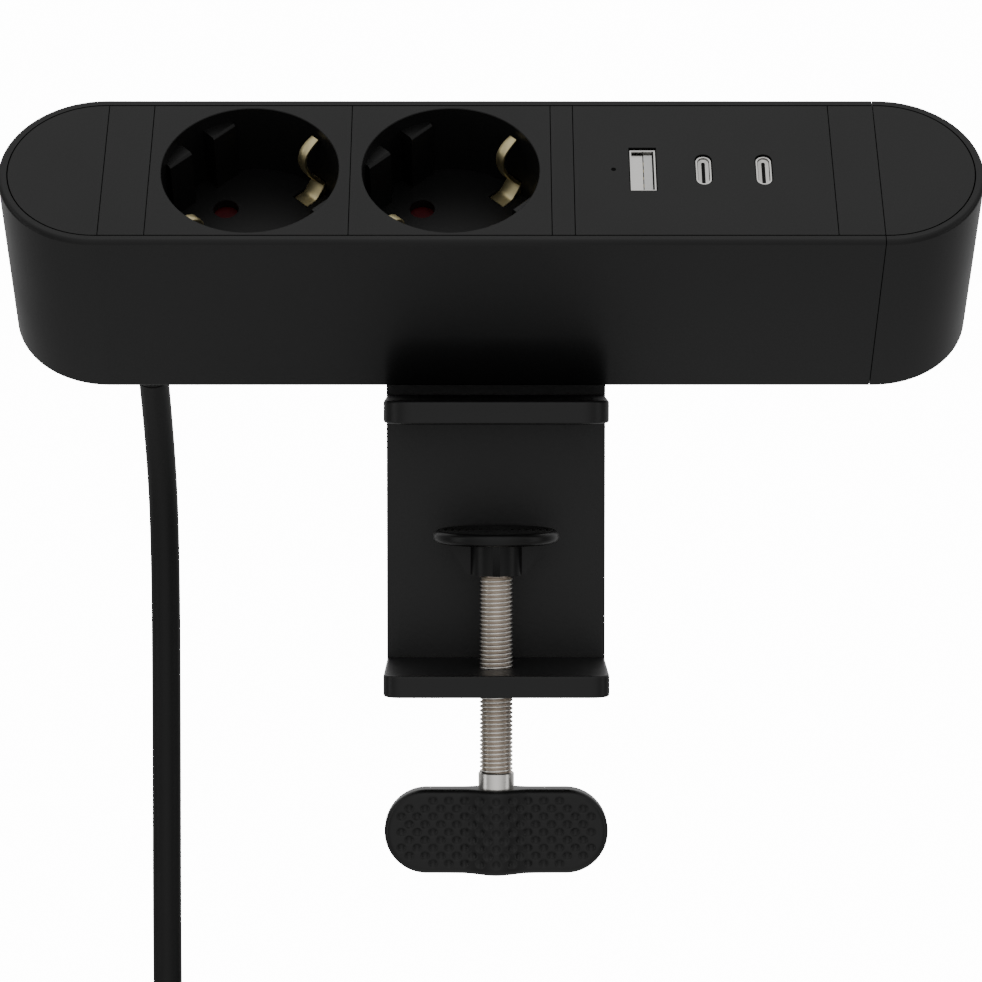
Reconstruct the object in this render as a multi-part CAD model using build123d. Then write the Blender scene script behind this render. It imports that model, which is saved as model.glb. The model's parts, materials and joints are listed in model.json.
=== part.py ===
"""Clamp-on desk power strip: two earthed sockets and a USB charger in a long round-ended body.

The body leans back on a C-clamp that grips the far edge of a desk top.
Frame: millimetres, +Z up, +X along the body, +Y away from the user.
Origin: where the clamp screw's axis meets the desk top.
Inside the tilted body a second frame is used: u along the body, v back along the sloping
top face, w out of that face, with w = 0 on the face itself.
"""
import math
import os

from build123d import *

os.makedirs("parts", exist_ok=True)

# ---------------------------------------------------------------- driving dimensions (mm)
# sockets
recess_radius = 19.9
recess_depth = 19.1
recess_chamfer = 0.15
well_wall = 0.8  # thinnest wall round a recess
socket_margin = 2.6  # from a recess's rim to the seam beside it
floor_thickness = 2.0
pin_radius = 2.4
pin_spacing = 19.0
pin_hole_gap = 0.5
pin_line_angle = 135.0
shelf_depth = 3.9  # how far a key shelf stands into the recess
shelf_top = -3.5
shelf_reach = 9.9
shelf_slot = 6.7
shelf_chamfer = 0.5
clip_finger_edges = (-1.9, 0.5)  # across the clip, from its middle line
clip_base_edges = (-3.0, 1.3)
clip_sheet = 0.8
clip_foot_inset = 0.3  # from the recess's wall in to the clip's straight foot
clip_bow = [(-0.6, -3.1), (-2.8, -4.1), (-4.3, -5.2), (-4.9, -6.7), (-4.8, -8.5), (-3.4, -11.3)]  # from the wall, w
clip_base_top = -16.4
clip_tab_reach = 6.0  # from the recess's wall in to the tab's end
clip_gap = 0.3
clip_window_top = -15.2
shutter_thickness = 2.4
shutter_overlap = 0.7  # of a shutter's lobe round a pin hole
shutter_clearance = 0.35
shutter_hub_wall = 2.2
shutter_arm_width = 3.6
pivot_radius = 1.6
running_clearance = 0.05
chamber_height = 4.6
spring_radius = 3.0
spring_height = 1.9
contact_wall = 1.05
contact_room = 0.8

# body
body_height = 47.0
end_straight = 0.7  # straight stretch between the last seam and the half-round end
usb_module = 58.1
end_spacer_width = 10.3
centre_spacer_width = 5.1
wall = 2.0
rim_gap = 0.3  # between the rim and the face plates
seam = 0.2  # between neighbouring face plates
plate_thickness = 2.4
skirt_height = 4.0
skirt_inset = 1.3
skirt_sheet = 1.2
edge_round = 1.0
base_thickness = 3.0
bars_above_base = 6.1
bar_sheet = 1.0
bar_width = 6.0
bar_gap = 2.4  # between the live and neutral bars and the earth bar
tilt = 45.0
body_x = -1.17  # the body's middle, off the clamp's middle
foot_y = 0.77  # where the body's lowest edge is
foot_over_jaw = 2.7

# charger
usb_a_size = (5.7, 13.0)
usb_c_size = (3.4, 8.9)
usb_shell_sheet = 0.35
usb_shell_top = -0.4
usb_shell_depth = 14.6
usb_a_from_seam = 15.5
usb_c_from_seam = (29.1, 42.6)
light_from_seam = 8.9
light_radius = 0.5
usb_opening_gap = 0.25
tongue_a_sheet = 1.9
tongue_c_size = (0.7, 6.6)
board_thickness = 1.6

# clamp
clamp_width = 51.5
plate_front = 19.7
clamp_plate = 5.0
jaw_underside = 0.3
upper_jaw_thickness = 5.2
upper_jaw_front = -12.3
upper_jaw_corner = 6.5
lower_jaw_top = -56.6
lower_jaw_thickness = 5.1
lower_jaw_front = -16.4
lower_jaw_corner = 4.0
jaw_edge_round = 0.6
flange_from_foot = (15.0, 43.0)  # along the body's underside
flange_thickness = 5.0
gusset_thickness = 3.5
gusset_inset = 1.6
gusset_foot = -4.0
jaw_pad_margin = 3.75  # from the jaw's side to its rubber strip
jaw_pad_length = 26.0
jaw_pad_thickness = 1.5
jaw_pad_centre_y = 3.7
jaw_pad_corner = 3.0
jaw_pad_gap = 0.1

# clamp screw, pad and knob
screw_radius = 3.85
pad_top = -24.6
pad_radius = 14.5
pad_thickness = 3.0
pad_edge_round = 1.35
rubber_inset = 1.2
rubber_gap = 0.05
rubber_thickness = 1.0
pad_web = 0.8  # between the rubber and the room for the screw's tip
tip_room = 1.4
hub_wall = 1.05
pad_rib_thickness = 1.7
pad_rib_top_reach = 11.5
pad_rib_foot = 0.8  # how far a rib's foot stands out of the hub
journal_radius = 2.5
shoulder_step = 0.4
ball_rim = 1.03  # round the bore at the ball's flat ends
ball_clearance = 0.1
ball_half_height = 3.2
tip_beyond_ball = 0.9
clip_ring = 0.7  # how far the retaining clip stands out of the journal
clip_ring_room = 0.7
retainer_gap = 0.6
retainer_thickness = 0.7
collar_wall = 0.3
collar_top = -80.8
collar_height = 3.8
knob_width = 51.7
knob_height = 19.6
knob_thickness = 7.5
knob_boss_wall = 2.25
knob_round = 1.6
knob_bore_depth = 14.0

# mains lead and plug
lead_radius = 3.6
lead_from_seam = 6.4
gland_length = 21.0
gland_walls = (2.6, 1.3)
gland_squeeze = 0.6
gland_neck_step = 0.4
coil_centre = (-40.6, 74.8, -195.0)
coil_inner_turn = 34.4
coil_columns = 3
coil_edge_round = 3.0
tie_width = 16.0
tie_thickness = 1.4
tie_angle = 35.0
plug_entry = (-81.0, 52.0, -219.0)
plug_radius = 18.6
plug_thickness = 17.0
plug_relief_length = 20.0
plug_relief_walls = (1.1, 2.8)
plug_relief_sunk = 4.0
plug_pin_length = 19.0
plug_pin_depth = 6.0
plug_groove_depth = (2.2, 1.6)
plug_groove_length = 12.0

# screws
base_screw_radius = 1.5
base_screw_head = (1.2, 1.7)  # beyond the shank, height
base_screw_length = 12.0
boss_wall = 3.1
boss_in_wall = 0.6
end_boss_reach = 6.0  # from the last seam to the outermost screws
flange_screw_radius = 2.0
flange_screw_head = (1.6, 2.4)  # beyond the shank, height
flange_screw_x = (-15.0, 0.0, 15.0)
flange_screw_from_foot = 36.5
insert_wall = 1.4
insert_height = 4.6
screw_hole_gap = 0.2

# ---------------------------------------------------------------- worked-out sizes
well_radius = recess_radius + well_wall
plate_depth = 2 * well_radius
inside_depth = plate_depth + 2 * rim_gap
body_depth = inside_depth + 2 * wall
socket_module = 2 * (recess_radius + socket_margin)
module_stack = 2 * end_spacer_width + 2 * socket_module + centre_spacer_width + usb_module
end_length = body_depth / 2 + end_straight
body_length = module_stack + 2 * end_length
plate_length = body_length - 2 * wall - 2 * rim_gap
base_top = -body_height + base_thickness
seam_left = -module_stack / 2
seam_right = module_stack / 2
socket_left = seam_left + end_spacer_width
socket_us = (socket_left + socket_module / 2, socket_left + 1.5 * socket_module)
centre_left = socket_left + 2 * socket_module
usb_left = centre_left + centre_spacer_width
usb_right = usb_left + usb_module
pin_hole_radius = pin_radius + pin_hole_gap
contact_bore = pin_radius + running_clearance
contact_radius = contact_bore + contact_wall
shelf_chord = recess_radius - shelf_depth
clip_foot = recess_radius - clip_foot_inset
clip_half_sheet = clip_sheet / 2
window_reach = clip_foot + clip_half_sheet + clip_gap
floor_under = -recess_depth - floor_thickness
carrier_top = floor_under - chamber_height
earth_bar_bottom = base_top + bars_above_base
earth_bar_top = earth_bar_bottom + bar_sheet
bar_top = earth_bar_top + bar_gap + bar_sheet
carrier_bottom = bar_top + 0.4
board_top = usb_shell_top - usb_shell_depth
boss_radius = base_screw_radius + boss_wall
insert_radius = flange_screw_radius + insert_wall
screw_hole_radius = screw_radius + running_clearance
rubber_radius = pad_radius - rubber_inset
shoulder_radius = journal_radius + shoulder_step
ball_radius = math.hypot(journal_radius + running_clearance + ball_rim, ball_half_height)
ball_centre = pad_top - rubber_thickness - pad_web - tip_room - ball_half_height
hub_radius = ball_radius + ball_clearance + hub_wall
hub_bottom = ball_centre - ball_half_height - ball_clearance - retainer_thickness
screw_tip = ball_centre + ball_half_height + tip_beyond_ball
collar_bottom = collar_top - collar_height
knob_top = collar_bottom
knob_bottom = knob_top - knob_height
slope = math.radians(tilt)
foot_z = jaw_underside + upper_jaw_thickness + foot_over_jaw
body_centre = (
    body_x,
    foot_y + body_depth / 2 * math.cos(slope) - body_height * math.sin(slope),
    foot_z + body_depth / 2 * math.sin(slope) + body_height * math.cos(slope),
)
body_plane = Plane(origin=body_centre, x_dir=(1, 0, 0), z_dir=(0, -math.sin(slope), math.cos(slope)))
flange_v = [distance - body_depth / 2 for distance in flange_from_foot]
flange_screw_v = flange_screw_from_foot - body_depth / 2
flange_screw_us = [x - body_x for x in flange_screw_x]
lead_u = seam_left + lead_from_seam
gland_radii = [lead_radius + extra for extra in gland_walls]
coil_inside = coil_inner_turn - lead_radius
coil_outside = coil_inner_turn + 3 * lead_radius
coil_half_width = coil_columns * lead_radius
plug_front = plug_entry[1] - plug_thickness / 2
plug_centre_z = plug_entry[2] - plug_relief_length - plug_radius + plug_relief_sunk
far = 400.0
nodes = {}


def tilted(shape):
    """Move a shape from the body's own frame to its place on the clamp."""
    return body_plane.location * shape


def tilted_point(u, v, w):
    """The place in the desk frame of a point of the body's own frame."""
    return body_plane.from_local_coords(Vector(u, v, w))


def block(x0, x1, y0, y1, z0, z1):
    """A box between two corners."""
    centre = Pos((x0 + x1) / 2, (y0 + y1) / 2, (z0 + z1) / 2)
    return centre * Box(abs(x1 - x0), abs(y1 - y0), abs(z1 - z0))


def rod(radius, x, y, z0, z1):
    """An upright cylinder."""
    return Pos(x, y, (z0 + z1) / 2) * Cylinder(radius, abs(z1 - z0))


def stadium(length, depth, z0, z1):
    """A round-ended slab."""
    return extrude(Plane.XY.offset(z0) * SlotOverall(length, depth), z1 - z0)


def turned(shape, angle, u=0.0):
    """Turn a shape about a socket's axis and move it to that socket."""
    return Pos(u, 0, 0) * Rot(0, 0, angle) * shape


def side_profile(points, width, x=0.0):
    """A flat outline in the YZ plane, made as thick as width about x."""
    face = Plane.YZ.offset(x - width / 2) * make_face(Polyline(*points, close=True))
    return extrude(face, width)


# ---------------------------------------------------------------- body
def boss_places():
    """Where the base screws go: near both long walls, clear of the clamp's inserts."""
    across = inside_depth / 2 - boss_radius + boss_in_wall
    along = (seam_left - end_boss_reach, socket_left + socket_module, (usb_left + usb_right) / 2,
             seam_right + end_boss_reach)
    return [(u, side * across) for u in along for side in (-1, 1)]


def pin_places():
    """The two pin holes of a socket, in its own frame."""
    angle = math.radians(pin_line_angle)
    reach = pin_spacing / 2
    return [(side * reach * math.cos(angle), side * reach * math.sin(angle)) for side in (1, -1)]


def housing():
    """The outer wall all round, with screw bosses and short ledges for the face plates."""
    outer = stadium(body_length, body_depth, -body_height, 0)
    ends = outer.faces().filter_by(Axis.Z)
    outer = fillet(ends.edges(), edge_round)
    inner = stadium(body_length - 2 * wall, inside_depth, -body_height - 1, 1)
    skin = outer - inner
    for u, v in boss_places():
        boss = rod(boss_radius, u, v, base_top, base_top + base_screw_length)
        skin += boss & inner
        skin -= rod(base_screw_radius, u, v, base_top - 1, base_top + base_screw_length - 1)
    ledge_top = -plate_thickness
    for u0, u1 in ((seam_left - 12, socket_left - 1), (usb_left + 1, seam_right + 12)):
        for side in (-1, 1):
            reach = side * inside_depth / 2
            ledge = block(u0, u1, reach, reach - side * 1.2, ledge_top - 1.6, ledge_top)
            skin += ledge & inner
    return skin


def split_housing():
    """Cut the wall at the right-hand seam into the long housing and the end cap."""
    skin = housing()
    left = skin & block(-far, seam_right - seam / 2, -far, far, -far, far)
    right = skin & block(seam_right + seam / 2, far, -far, far, -far, far)
    tongue_depth = inside_depth - 2 * rim_gap
    tongue_top = -plate_thickness - skirt_height - 0.5
    tongue = stadium(body_length - 2 * wall, tongue_depth, base_top + 1, tongue_top)
    tongue -= stadium(body_length - 2 * wall - 3, tongue_depth - 3, -body_height, 0)
    tongue &= block(seam_right - 4, seam_right + 6, -far, far, -far, far)
    side_joint = block(seam_right + 1.5, seam_right + 5, -far, far, base_top + 1, tongue_top)
    bridge = side_joint & (stadium(body_length - wall, body_depth - wall, -body_height, 0)
                           - stadium(body_length - 2 * wall - 3, tongue_depth - 3, -body_height, 0))
    return left, right + tongue + bridge


def base_cover():
    """The plate that closes the body from below, with its screw, insert and cable holes."""
    cover = stadium(body_length - 2 * wall - 0.3, inside_depth - 0.3, -body_height, base_top)
    for u, v in boss_places():
        cover -= rod(base_screw_radius + screw_hole_gap, u, v, -far, 0)
        cover -= rod(base_screw_radius + base_screw_head[0] + 0.3, u, v, -far,
                     -body_height + base_screw_head[1] + 0.1)
    for u in flange_screw_us:
        cover += rod(insert_radius + 1.6, u, flange_screw_v, base_top, base_top + insert_height)
        cover -= rod(insert_radius, u, flange_screw_v, base_top, far)
        cover -= rod(flange_screw_radius + 0.25, u, flange_screw_v, -far, far)
    return cover - rod(gland_radii[0] - gland_neck_step + 0.1, lead_u, 0, -far, 0)


def face_plate(u0, u1):
    """A flush plate of the top face between two seams, with a shallow skirt underneath."""
    u0 += seam / 2
    u1 -= seam / 2
    half = plate_depth / 2
    plate = block(u0, u1, -half, half, -plate_thickness, 0)
    edge = half - skirt_inset
    skirt = block(u0, u1, -edge, edge, -plate_thickness - skirt_height, -plate_thickness)
    edge -= skirt_sheet
    return plate + (skirt - block(u0 + skirt_sheet, u1 - skirt_sheet, -edge, edge, -far, 0))


def end_insert(side):
    """The half-round plate at one end of the top face."""
    plate = stadium(plate_length, plate_depth, -plate_thickness, 0)
    outside = 2 * skirt_inset
    inside = outside + 2 * skirt_sheet
    skirt = stadium(plate_length - outside, plate_depth - outside, -plate_thickness - skirt_height,
                    -plate_thickness)
    skirt -= stadium(plate_length - inside, plate_depth - inside, -far / 2, 0)
    edge = seam_right + seam / 2
    keep = block(side * edge, side * far, -far, far, -far, far)
    return (plate + skirt) & keep


def clip_window(reach, gap, w0, w1):
    """A block as wide as an earth clip's base with a gap round it, from the tab's end to a reach."""
    inner = recess_radius - clip_tab_reach - gap
    return block(inner, reach, clip_base_edges[0] - gap, clip_base_edges[1] + gap, w0, w1)


def socket_face(u):
    """One socket: square plate, round well, floor with pin holes, key shelves, clip windows."""
    half = plate_depth / 2
    across = socket_module / 2 - seam / 2
    face = block(-across, across, -half, half, -plate_thickness, 0)
    face += rod(well_radius, 0, 0, floor_under, -plate_thickness)
    inside = block(-across, across, -half, half, floor_under, 0)
    pocket = clip_window(window_reach + 0.8, clip_gap + 0.8, floor_under, clip_window_top + 1)
    for angle in (45, 225):
        face += turned(pocket, angle) & inside
    face -= rod(recess_radius, 0, 0, -recess_depth, 1)
    rim = face.edges().filter_by(GeomType.CIRCLE).group_by(Axis.Z)[-1]
    face = chamfer(rim, recess_chamfer)
    shelf = block(shelf_chord, recess_radius + 0.3, -shelf_reach, shelf_reach, -recess_depth, shelf_top)
    shelf = chamfer(shelf.edges().filter_by(Axis.Y).group_by(Axis.Z)[-1].sort_by(Axis.X)[0], shelf_chamfer)
    shelf -= block(0, far, -shelf_slot / 2, shelf_slot / 2, -far, far)
    shelf &= rod(recess_radius + 0.2, 0, 0, -recess_depth, 0)
    for angle in (135, 315):
        face += turned(shelf, angle)
    tab_seat = clip_window(clip_foot, clip_gap, -recess_depth - clip_sheet - 0.2, 1)
    stem_slot = clip_window(window_reach, clip_gap, floor_under - 1, clip_window_top)
    stem_slot -= block(0, clip_foot - clip_half_sheet - clip_gap, -far, far, -far, far)
    for angle in (45, 225):
        face -= turned(tab_seat, angle) + turned(stem_slot, angle)
    for x, y in pin_places():
        face -= rod(pin_hole_radius, x, y, floor_under - 1, -recess_depth + 1)
    return Pos(u, 0, 0) * face


def clip_strip(route, edges):
    """Sheet metal that follows a route of (reach from the axis, w), between two edges across."""
    line = trace(Polyline(*route), line_width=clip_sheet)
    return extrude(Plane.XZ.offset(-edges[1]) * line, edges[1] - edges[0])


def earth_clips(u):
    """Two bowed brass fingers, facing each other across the socket, each on a foot with a tab."""
    tab_w = -recess_depth - 0.1 - clip_half_sheet
    bow = [(recess_radius + beyond, w) for beyond, w in clip_bow]
    finger = clip_strip(bow + [(clip_foot, clip_base_top), (clip_foot, clip_base_top - 1)], clip_finger_edges)
    stem = clip_strip([(clip_foot, clip_base_top + 0.8), (clip_foot, earth_bar_bottom)], clip_base_edges)
    tab = clip_strip([(clip_foot, tab_w + 2.0), (recess_radius - 1.9, tab_w),
                      (recess_radius - clip_tab_reach, tab_w)], clip_base_edges)
    return [turned(finger + stem + tab, angle, u) for angle in (45, 225)]


def shutter(u):
    """The red blade that blocks both pin holes and turns aside about the socket's axis."""
    top = floor_under - shutter_clearance
    bottom = top - shutter_thickness
    reach = pin_spacing / 2
    blade = rod(pivot_radius + shutter_hub_wall, 0, 0, bottom, top)
    for x, y in pin_places():
        blade += rod(pin_hole_radius + shutter_overlap, x, y, bottom, top)
    arm = block(-reach, reach, -shutter_arm_width / 2, shutter_arm_width / 2, bottom, top)
    blade += Rot(0, 0, pin_line_angle) * arm
    blade -= rod(pivot_radius + running_clearance, 0, 0, bottom - 1, top + 1)
    return Pos(u, 0, 0) * blade


def contact_carrier(u):
    """The insulating block under a socket: shutter pivot, spring pocket, contact wells."""
    radius = well_radius - 0.2
    carrier = rod(radius, 0, 0, carrier_bottom, carrier_top)
    carrier += rod(radius, 0, 0, carrier_top, floor_under) - rod(radius - 1.4, 0, 0, -far, 0)
    carrier += rod(pivot_radius, 0, 0, carrier_top, floor_under - 0.2)
    pocket_floor = carrier_top - spring_height - 0.3
    carrier -= rod(spring_radius + 0.6, 0, 0, pocket_floor, carrier_top) - rod(pivot_radius, 0, 0, -far, 0)
    for x, y in pin_places():
        carrier -= rod(contact_radius + contact_room, x, y, carrier_bottom - 1, carrier_top + 0.1)
    slot = block(clip_foot - 2, far, clip_base_edges[0] - 0.8, clip_base_edges[1] + 0.8, -far, far)
    for angle in (45, 225):
        carrier -= turned(slot, angle)
    return Pos(u, 0, 0) * carrier


def return_spring(u):
    """The coil spring round a shutter's pivot, as a plain sleeve."""
    top = carrier_top - 0.1
    sleeve = rod(spring_radius, 0, 0, top - spring_height, top) - rod(pivot_radius + 0.4, 0, 0, -far, far)
    return Pos(u, 0, 0) * sleeve


def pin_contacts(u):
    """The two slit brass sleeves that a plug's pins slide into."""
    sleeves = []
    for x, y in pin_places():
        sleeve = rod(contact_radius, x, y, bar_top, carrier_top - 1.0)
        sleeve -= rod(contact_bore, x, y, bar_top + 1.0, far)
        sleeve -= Pos(x, y, 0) * block(-0.5, 0.5, -5, 5, bar_top + 2.5, 0)
        sleeves.append(Pos(u, 0, 0) * sleeve)
    return sleeves


def busbar(side):
    """A flat brass bar that joins the same contact of both sockets and ends at the terminals."""
    v = side * pin_spacing / 2 * math.sin(math.radians(pin_line_angle))
    last = socket_us[1] - side * v + 4
    half = bar_width / 2
    return block(seam_left - 5, last, v - half, v + half, bar_top - bar_sheet, bar_top)


def earth_bar():
    """The earth bar, with an arm to each earth clip."""
    half = bar_width / 2 - 0.5
    reach = clip_foot * math.cos(math.radians(45))
    bar = block(seam_left - 5, socket_us[1] + reach + 2, -half, half, earth_bar_bottom, earth_bar_top)
    for u in socket_us:
        for side in (1, -1):
            arm_u = u + side * (reach + 1)
            bar += block(arm_u - half, arm_u + half, 0, side * (reach - 0.5), earth_bar_bottom, earth_bar_top)
    return bar


terminal_u = seam_left - 10.5
terminal_vs = [step * 0.375 * pin_spacing for step in (-1, 0, 1)]
terminal_rise = 5.0  # above the live and neutral bars
terminal_screw_radius = 1.6


def terminal_block():
    """The insulated block at the left where the lead's three cores are clamped."""
    top = bar_top + terminal_rise
    body = block(terminal_u - 4.5, terminal_u + 4.5, -12, 12, earth_bar_bottom - 2, top)
    for v in terminal_vs:
        body -= rod(terminal_screw_radius + 0.1, terminal_u, v, top - 5, top + 1)
    return body


def terminal_screws():
    """The three clamping screws in the terminal block."""
    u = terminal_u
    top = bar_top + terminal_rise
    return [rod(terminal_screw_radius, u, v, top - 4.6, top - 0.6)
            - block(u - 2, u + 2, v - 0.3, v + 0.3, top - 1.4, 0) for v in terminal_vs]


# ---------------------------------------------------------------- charger
usb_a_u = usb_left + usb_a_from_seam
usb_c_us = [usb_left + distance for distance in usb_c_from_seam]
light_u = usb_left + light_from_seam


def usb_face():
    """The charger's plate with its three port openings and the status light's hole."""
    face = face_plate(usb_left, usb_right)
    gap = usb_opening_gap
    width, length = usb_a_size
    face -= block(usb_a_u - width / 2 - gap, usb_a_u + width / 2 + gap,
                  -length / 2 - gap, length / 2 + 2 * gap, -far, 1)
    width, length = usb_c_size
    for u in usb_c_us:
        opening = SlotOverall(length + 3 * gap, width + 2 * gap, rotation=90)
        face -= Pos(u, 0, -10) * extrude(opening, 11)
    return face - rod(light_radius + 0.05, light_u, 0, -far, 1)


def usb_a_shell():
    """The folded metal shell of the large port."""
    width, length = usb_a_size
    bottom = board_top
    shell = block(-width / 2, width / 2, -length / 2, length / 2, bottom, usb_shell_top)
    sheet = usb_shell_sheet
    shell -= block(-width / 2 + sheet, width / 2 - sheet, -length / 2 + sheet, length / 2 - sheet,
                   bottom + 1, 1)
    return Pos(usb_a_u, 0, 0) * shell


def usb_a_tongue():
    """The white contact carrier in the right half of the large port."""
    width, length = usb_a_size
    right = width / 2 - usb_shell_sheet - 0.35
    return Pos(usb_a_u, 0, 0) * block(right - tongue_a_sheet, right, -length / 2 + 0.9, length / 2 - 0.9,
                                      board_top + 1, usb_shell_top - 0.7)


def usb_c_shells():
    """The two seamless metal shells of the small ports."""
    width, length = usb_c_size
    sheet = usb_shell_sheet
    outer = extrude(SlotOverall(length, width, rotation=90), usb_shell_depth)
    hole = SlotOverall(length - 2 * sheet, width - 2 * sheet, rotation=90)
    shell = outer - Pos(0, 0, 1) * extrude(hole, usb_shell_depth)
    return [Pos(u, 0, board_top) * shell for u in usb_c_us]


def usb_c_tongues():
    """The thin blades in the middle of the small ports."""
    half_sheet, half_width = tongue_c_size[0] / 2, tongue_c_size[1] / 2
    return [block(u - half_sheet, u + half_sheet, -half_width, half_width, board_top + 1,
                  usb_shell_top - 0.9) for u in usb_c_us]


def circuit_board():
    """The charger's board, under the ports."""
    half = inside_depth / 2 - 2.2
    return block(usb_left + 2.5, usb_right - 2.5, -half, half, board_top - board_thickness, board_top)


def board_parts():
    """The transformer, capacitors and choke under the board."""
    top = board_top - board_thickness
    u = usb_left
    parts = [block(u + 22, u + 38, -8, 8, top - 13, top)]
    parts += [rod(4.2, u + 11, v, top - 15, top) for v in (-9.5, 0, 9.5)]
    parts += [rod(3.2, u + 47, v, top - 11, top) for v in (-8, 8)]
    parts.append(block(u + 44, u + 50, -3, 3, top - 7, top))
    return parts


def light_pipe():
    """The clear rod that carries the status light up to the face."""
    return rod(light_radius, light_u, 0, board_top, -0.05)


# ---------------------------------------------------------------- fasteners
def base_screws():
    """Pan-head screws that hold the base cover to the housing and the end cap."""
    beyond, height = base_screw_head
    seat = -body_height + height + 0.1
    tip = base_top + base_screw_length - 2
    return [rod(base_screw_radius + beyond, u, v, seat - height, seat)
            + rod(base_screw_radius, u, v, seat, tip) for u, v in boss_places()]


def flange_screws():
    """The three larger screws that hold the body to the clamp's flange."""
    beyond, height = flange_screw_head
    under = -body_height - flange_thickness
    tip = base_top + insert_height - 0.5
    return [rod(flange_screw_radius + beyond, u, flange_screw_v, under - height, under)
            + rod(flange_screw_radius, u, flange_screw_v, under, tip) for u in flange_screw_us]


def threaded_inserts():
    """Brass inserts in the base cover for the flange screws."""
    return [rod(insert_radius, u, flange_screw_v, base_top, base_top + insert_height)
            - rod(flange_screw_radius, u, flange_screw_v, -far, far) for u in flange_screw_us]


# ---------------------------------------------------------------- clamp
def jaw(front, z0, z1, corner):
    """A flat jaw with rounded front corners, reaching into the back plate."""
    half = clamp_width / 2
    slab = block(-half, half, front, plate_front + clamp_plate / 2, z0, z1)
    corners = slab.edges().filter_by(Axis.Z).sort_by(Axis.Y)[:2]
    slab = fillet(corners, corner)
    return fillet(slab.faces().filter_by(Axis.Z).edges(), jaw_edge_round)


def clamp_frame():
    """The casting: back plate, both jaws, sloping flange and two gussets behind it."""
    back = plate_front + clamp_plate
    meet = [tilted_point(0, v, -body_height) for v in (0, 1)]
    rise = (meet[1].Z - meet[0].Z) / (meet[1].Y - meet[0].Y)
    top = [meet[0].Z + (y - meet[0].Y) * rise for y in (plate_front, back)]
    bottom = lower_jaw_top - lower_jaw_thickness
    plate = side_profile([(plate_front, bottom), (back, bottom), (back, top[1]), (plate_front, top[0])],
                         clamp_width)
    under = -body_height - flange_thickness
    corners = [tilted_point(0, v, w) for v, w in ((flange_v[0], -body_height), (flange_v[1], -body_height),
                                                 (flange_v[1], under), (flange_v[0], under))]
    flange = side_profile([(p.Y, p.Z) for p in corners], clamp_width)
    tip = tilted_point(0, flange_v[1] - 1.5, under + 1)
    root = tilted_point(0, flange_v[0] + 9, under + 1)
    gusset_x = clamp_width / 2 - gusset_inset - gusset_thickness / 2
    casting = plate + flange
    for side in (-1, 1):
        casting += side_profile([(back - 1, gusset_foot), (tip.Y, tip.Z), (root.Y, root.Z),
                                 (back - 1, root.Z)], gusset_thickness, side * gusset_x)
    casting += jaw(upper_jaw_front, jaw_underside, jaw_underside + upper_jaw_thickness, upper_jaw_corner)
    casting += jaw(lower_jaw_front, bottom, lower_jaw_top, lower_jaw_corner)
    casting -= rod(screw_hole_radius, 0, 0, bottom - 1, lower_jaw_top + 1)
    casting -= jaw_pad(0.0)
    for u in flange_screw_us:
        hole = rod(flange_screw_radius + screw_hole_gap, u, flange_screw_v, under - 1, -body_height + 1)
        casting -= tilted(hole)
    return casting


def jaw_pad(shrink=jaw_pad_gap):
    """The rubber strip let into the upper jaw, which sits on the desk."""
    width = clamp_width - 2 * jaw_pad_margin
    outline = RectangleRounded(width - 2 * shrink, jaw_pad_length - 2 * shrink, jaw_pad_corner)
    return Pos(0, jaw_pad_centre_y, 0) * extrude(outline, jaw_pad_thickness - shrink)


def swivel_bush():
    """The plain ball bush: the screw turns in its bore and the pad tilts on its outside."""
    ball = Pos(0, 0, ball_centre) * Sphere(ball_radius)
    ball &= block(-far, far, -far, far, ball_centre - ball_half_height, ball_centre + ball_half_height)
    return ball - rod(journal_radius + running_clearance, 0, 0, -far, 0)


def pad_base():
    """The pad's disc, hub and four thin ribs, hollowed for the ball bush."""
    disc_bottom = pad_top - pad_thickness
    disc = rod(pad_radius, 0, 0, disc_bottom, pad_top - 0.1)
    disc = fillet(disc.edges().filter_by(GeomType.CIRCLE), pad_edge_round)
    pad = disc + rod(hub_radius, 0, 0, hub_bottom, disc_bottom + 0.5)
    rib = [(0, disc_bottom + 0.5), (pad_rib_top_reach, disc_bottom + 0.5),
           (pad_rib_top_reach, disc_bottom), (hub_radius + pad_rib_foot, hub_bottom), (0, hub_bottom)]
    blade = side_profile(rib, pad_rib_thickness)
    for angle in (0, 90, 180, 270):
        pad += Rot(0, 0, angle) * blade
    socket = ball_radius + ball_clearance
    ceiling = ball_centre + ball_half_height + tip_room
    pad -= Pos(0, 0, ball_centre) * Sphere(socket)
    pad -= rod(socket, 0, 0, hub_bottom - 1, ball_centre)
    pad -= rod(journal_radius + clip_ring + clip_ring_room, 0, 0, ball_centre, ceiling)
    return pad - rod(rubber_radius, 0, 0, pad_top - rubber_thickness, pad_top + 1)


def pad_retainer():
    """The ring snapped into the bottom of the hub, which keeps the ball bush in."""
    ring = rod(ball_radius + ball_clearance, 0, 0, hub_bottom, hub_bottom + retainer_thickness)
    return ring - rod(shoulder_radius + retainer_gap, 0, 0, -far, 0)


def clamp_screw():
    """The screw: thread, shoulder and journal as plain turned diameters."""
    shoulder = hub_bottom - 0.55
    bush_bottom = ball_centre - ball_half_height
    screw = rod(screw_radius, 0, 0, knob_top - knob_bore_depth, shoulder)
    screw += rod(shoulder_radius, 0, 0, shoulder - 0.5, bush_bottom - 0.02)
    screw += rod(journal_radius, 0, 0, shoulder, screw_tip)
    groove = rod(journal_radius + 1, 0, 0, screw_tip - 0.8, screw_tip - 0.2)
    groove -= rod(journal_radius - 0.5, 0, 0, -far, 0)
    return screw - groove


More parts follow.
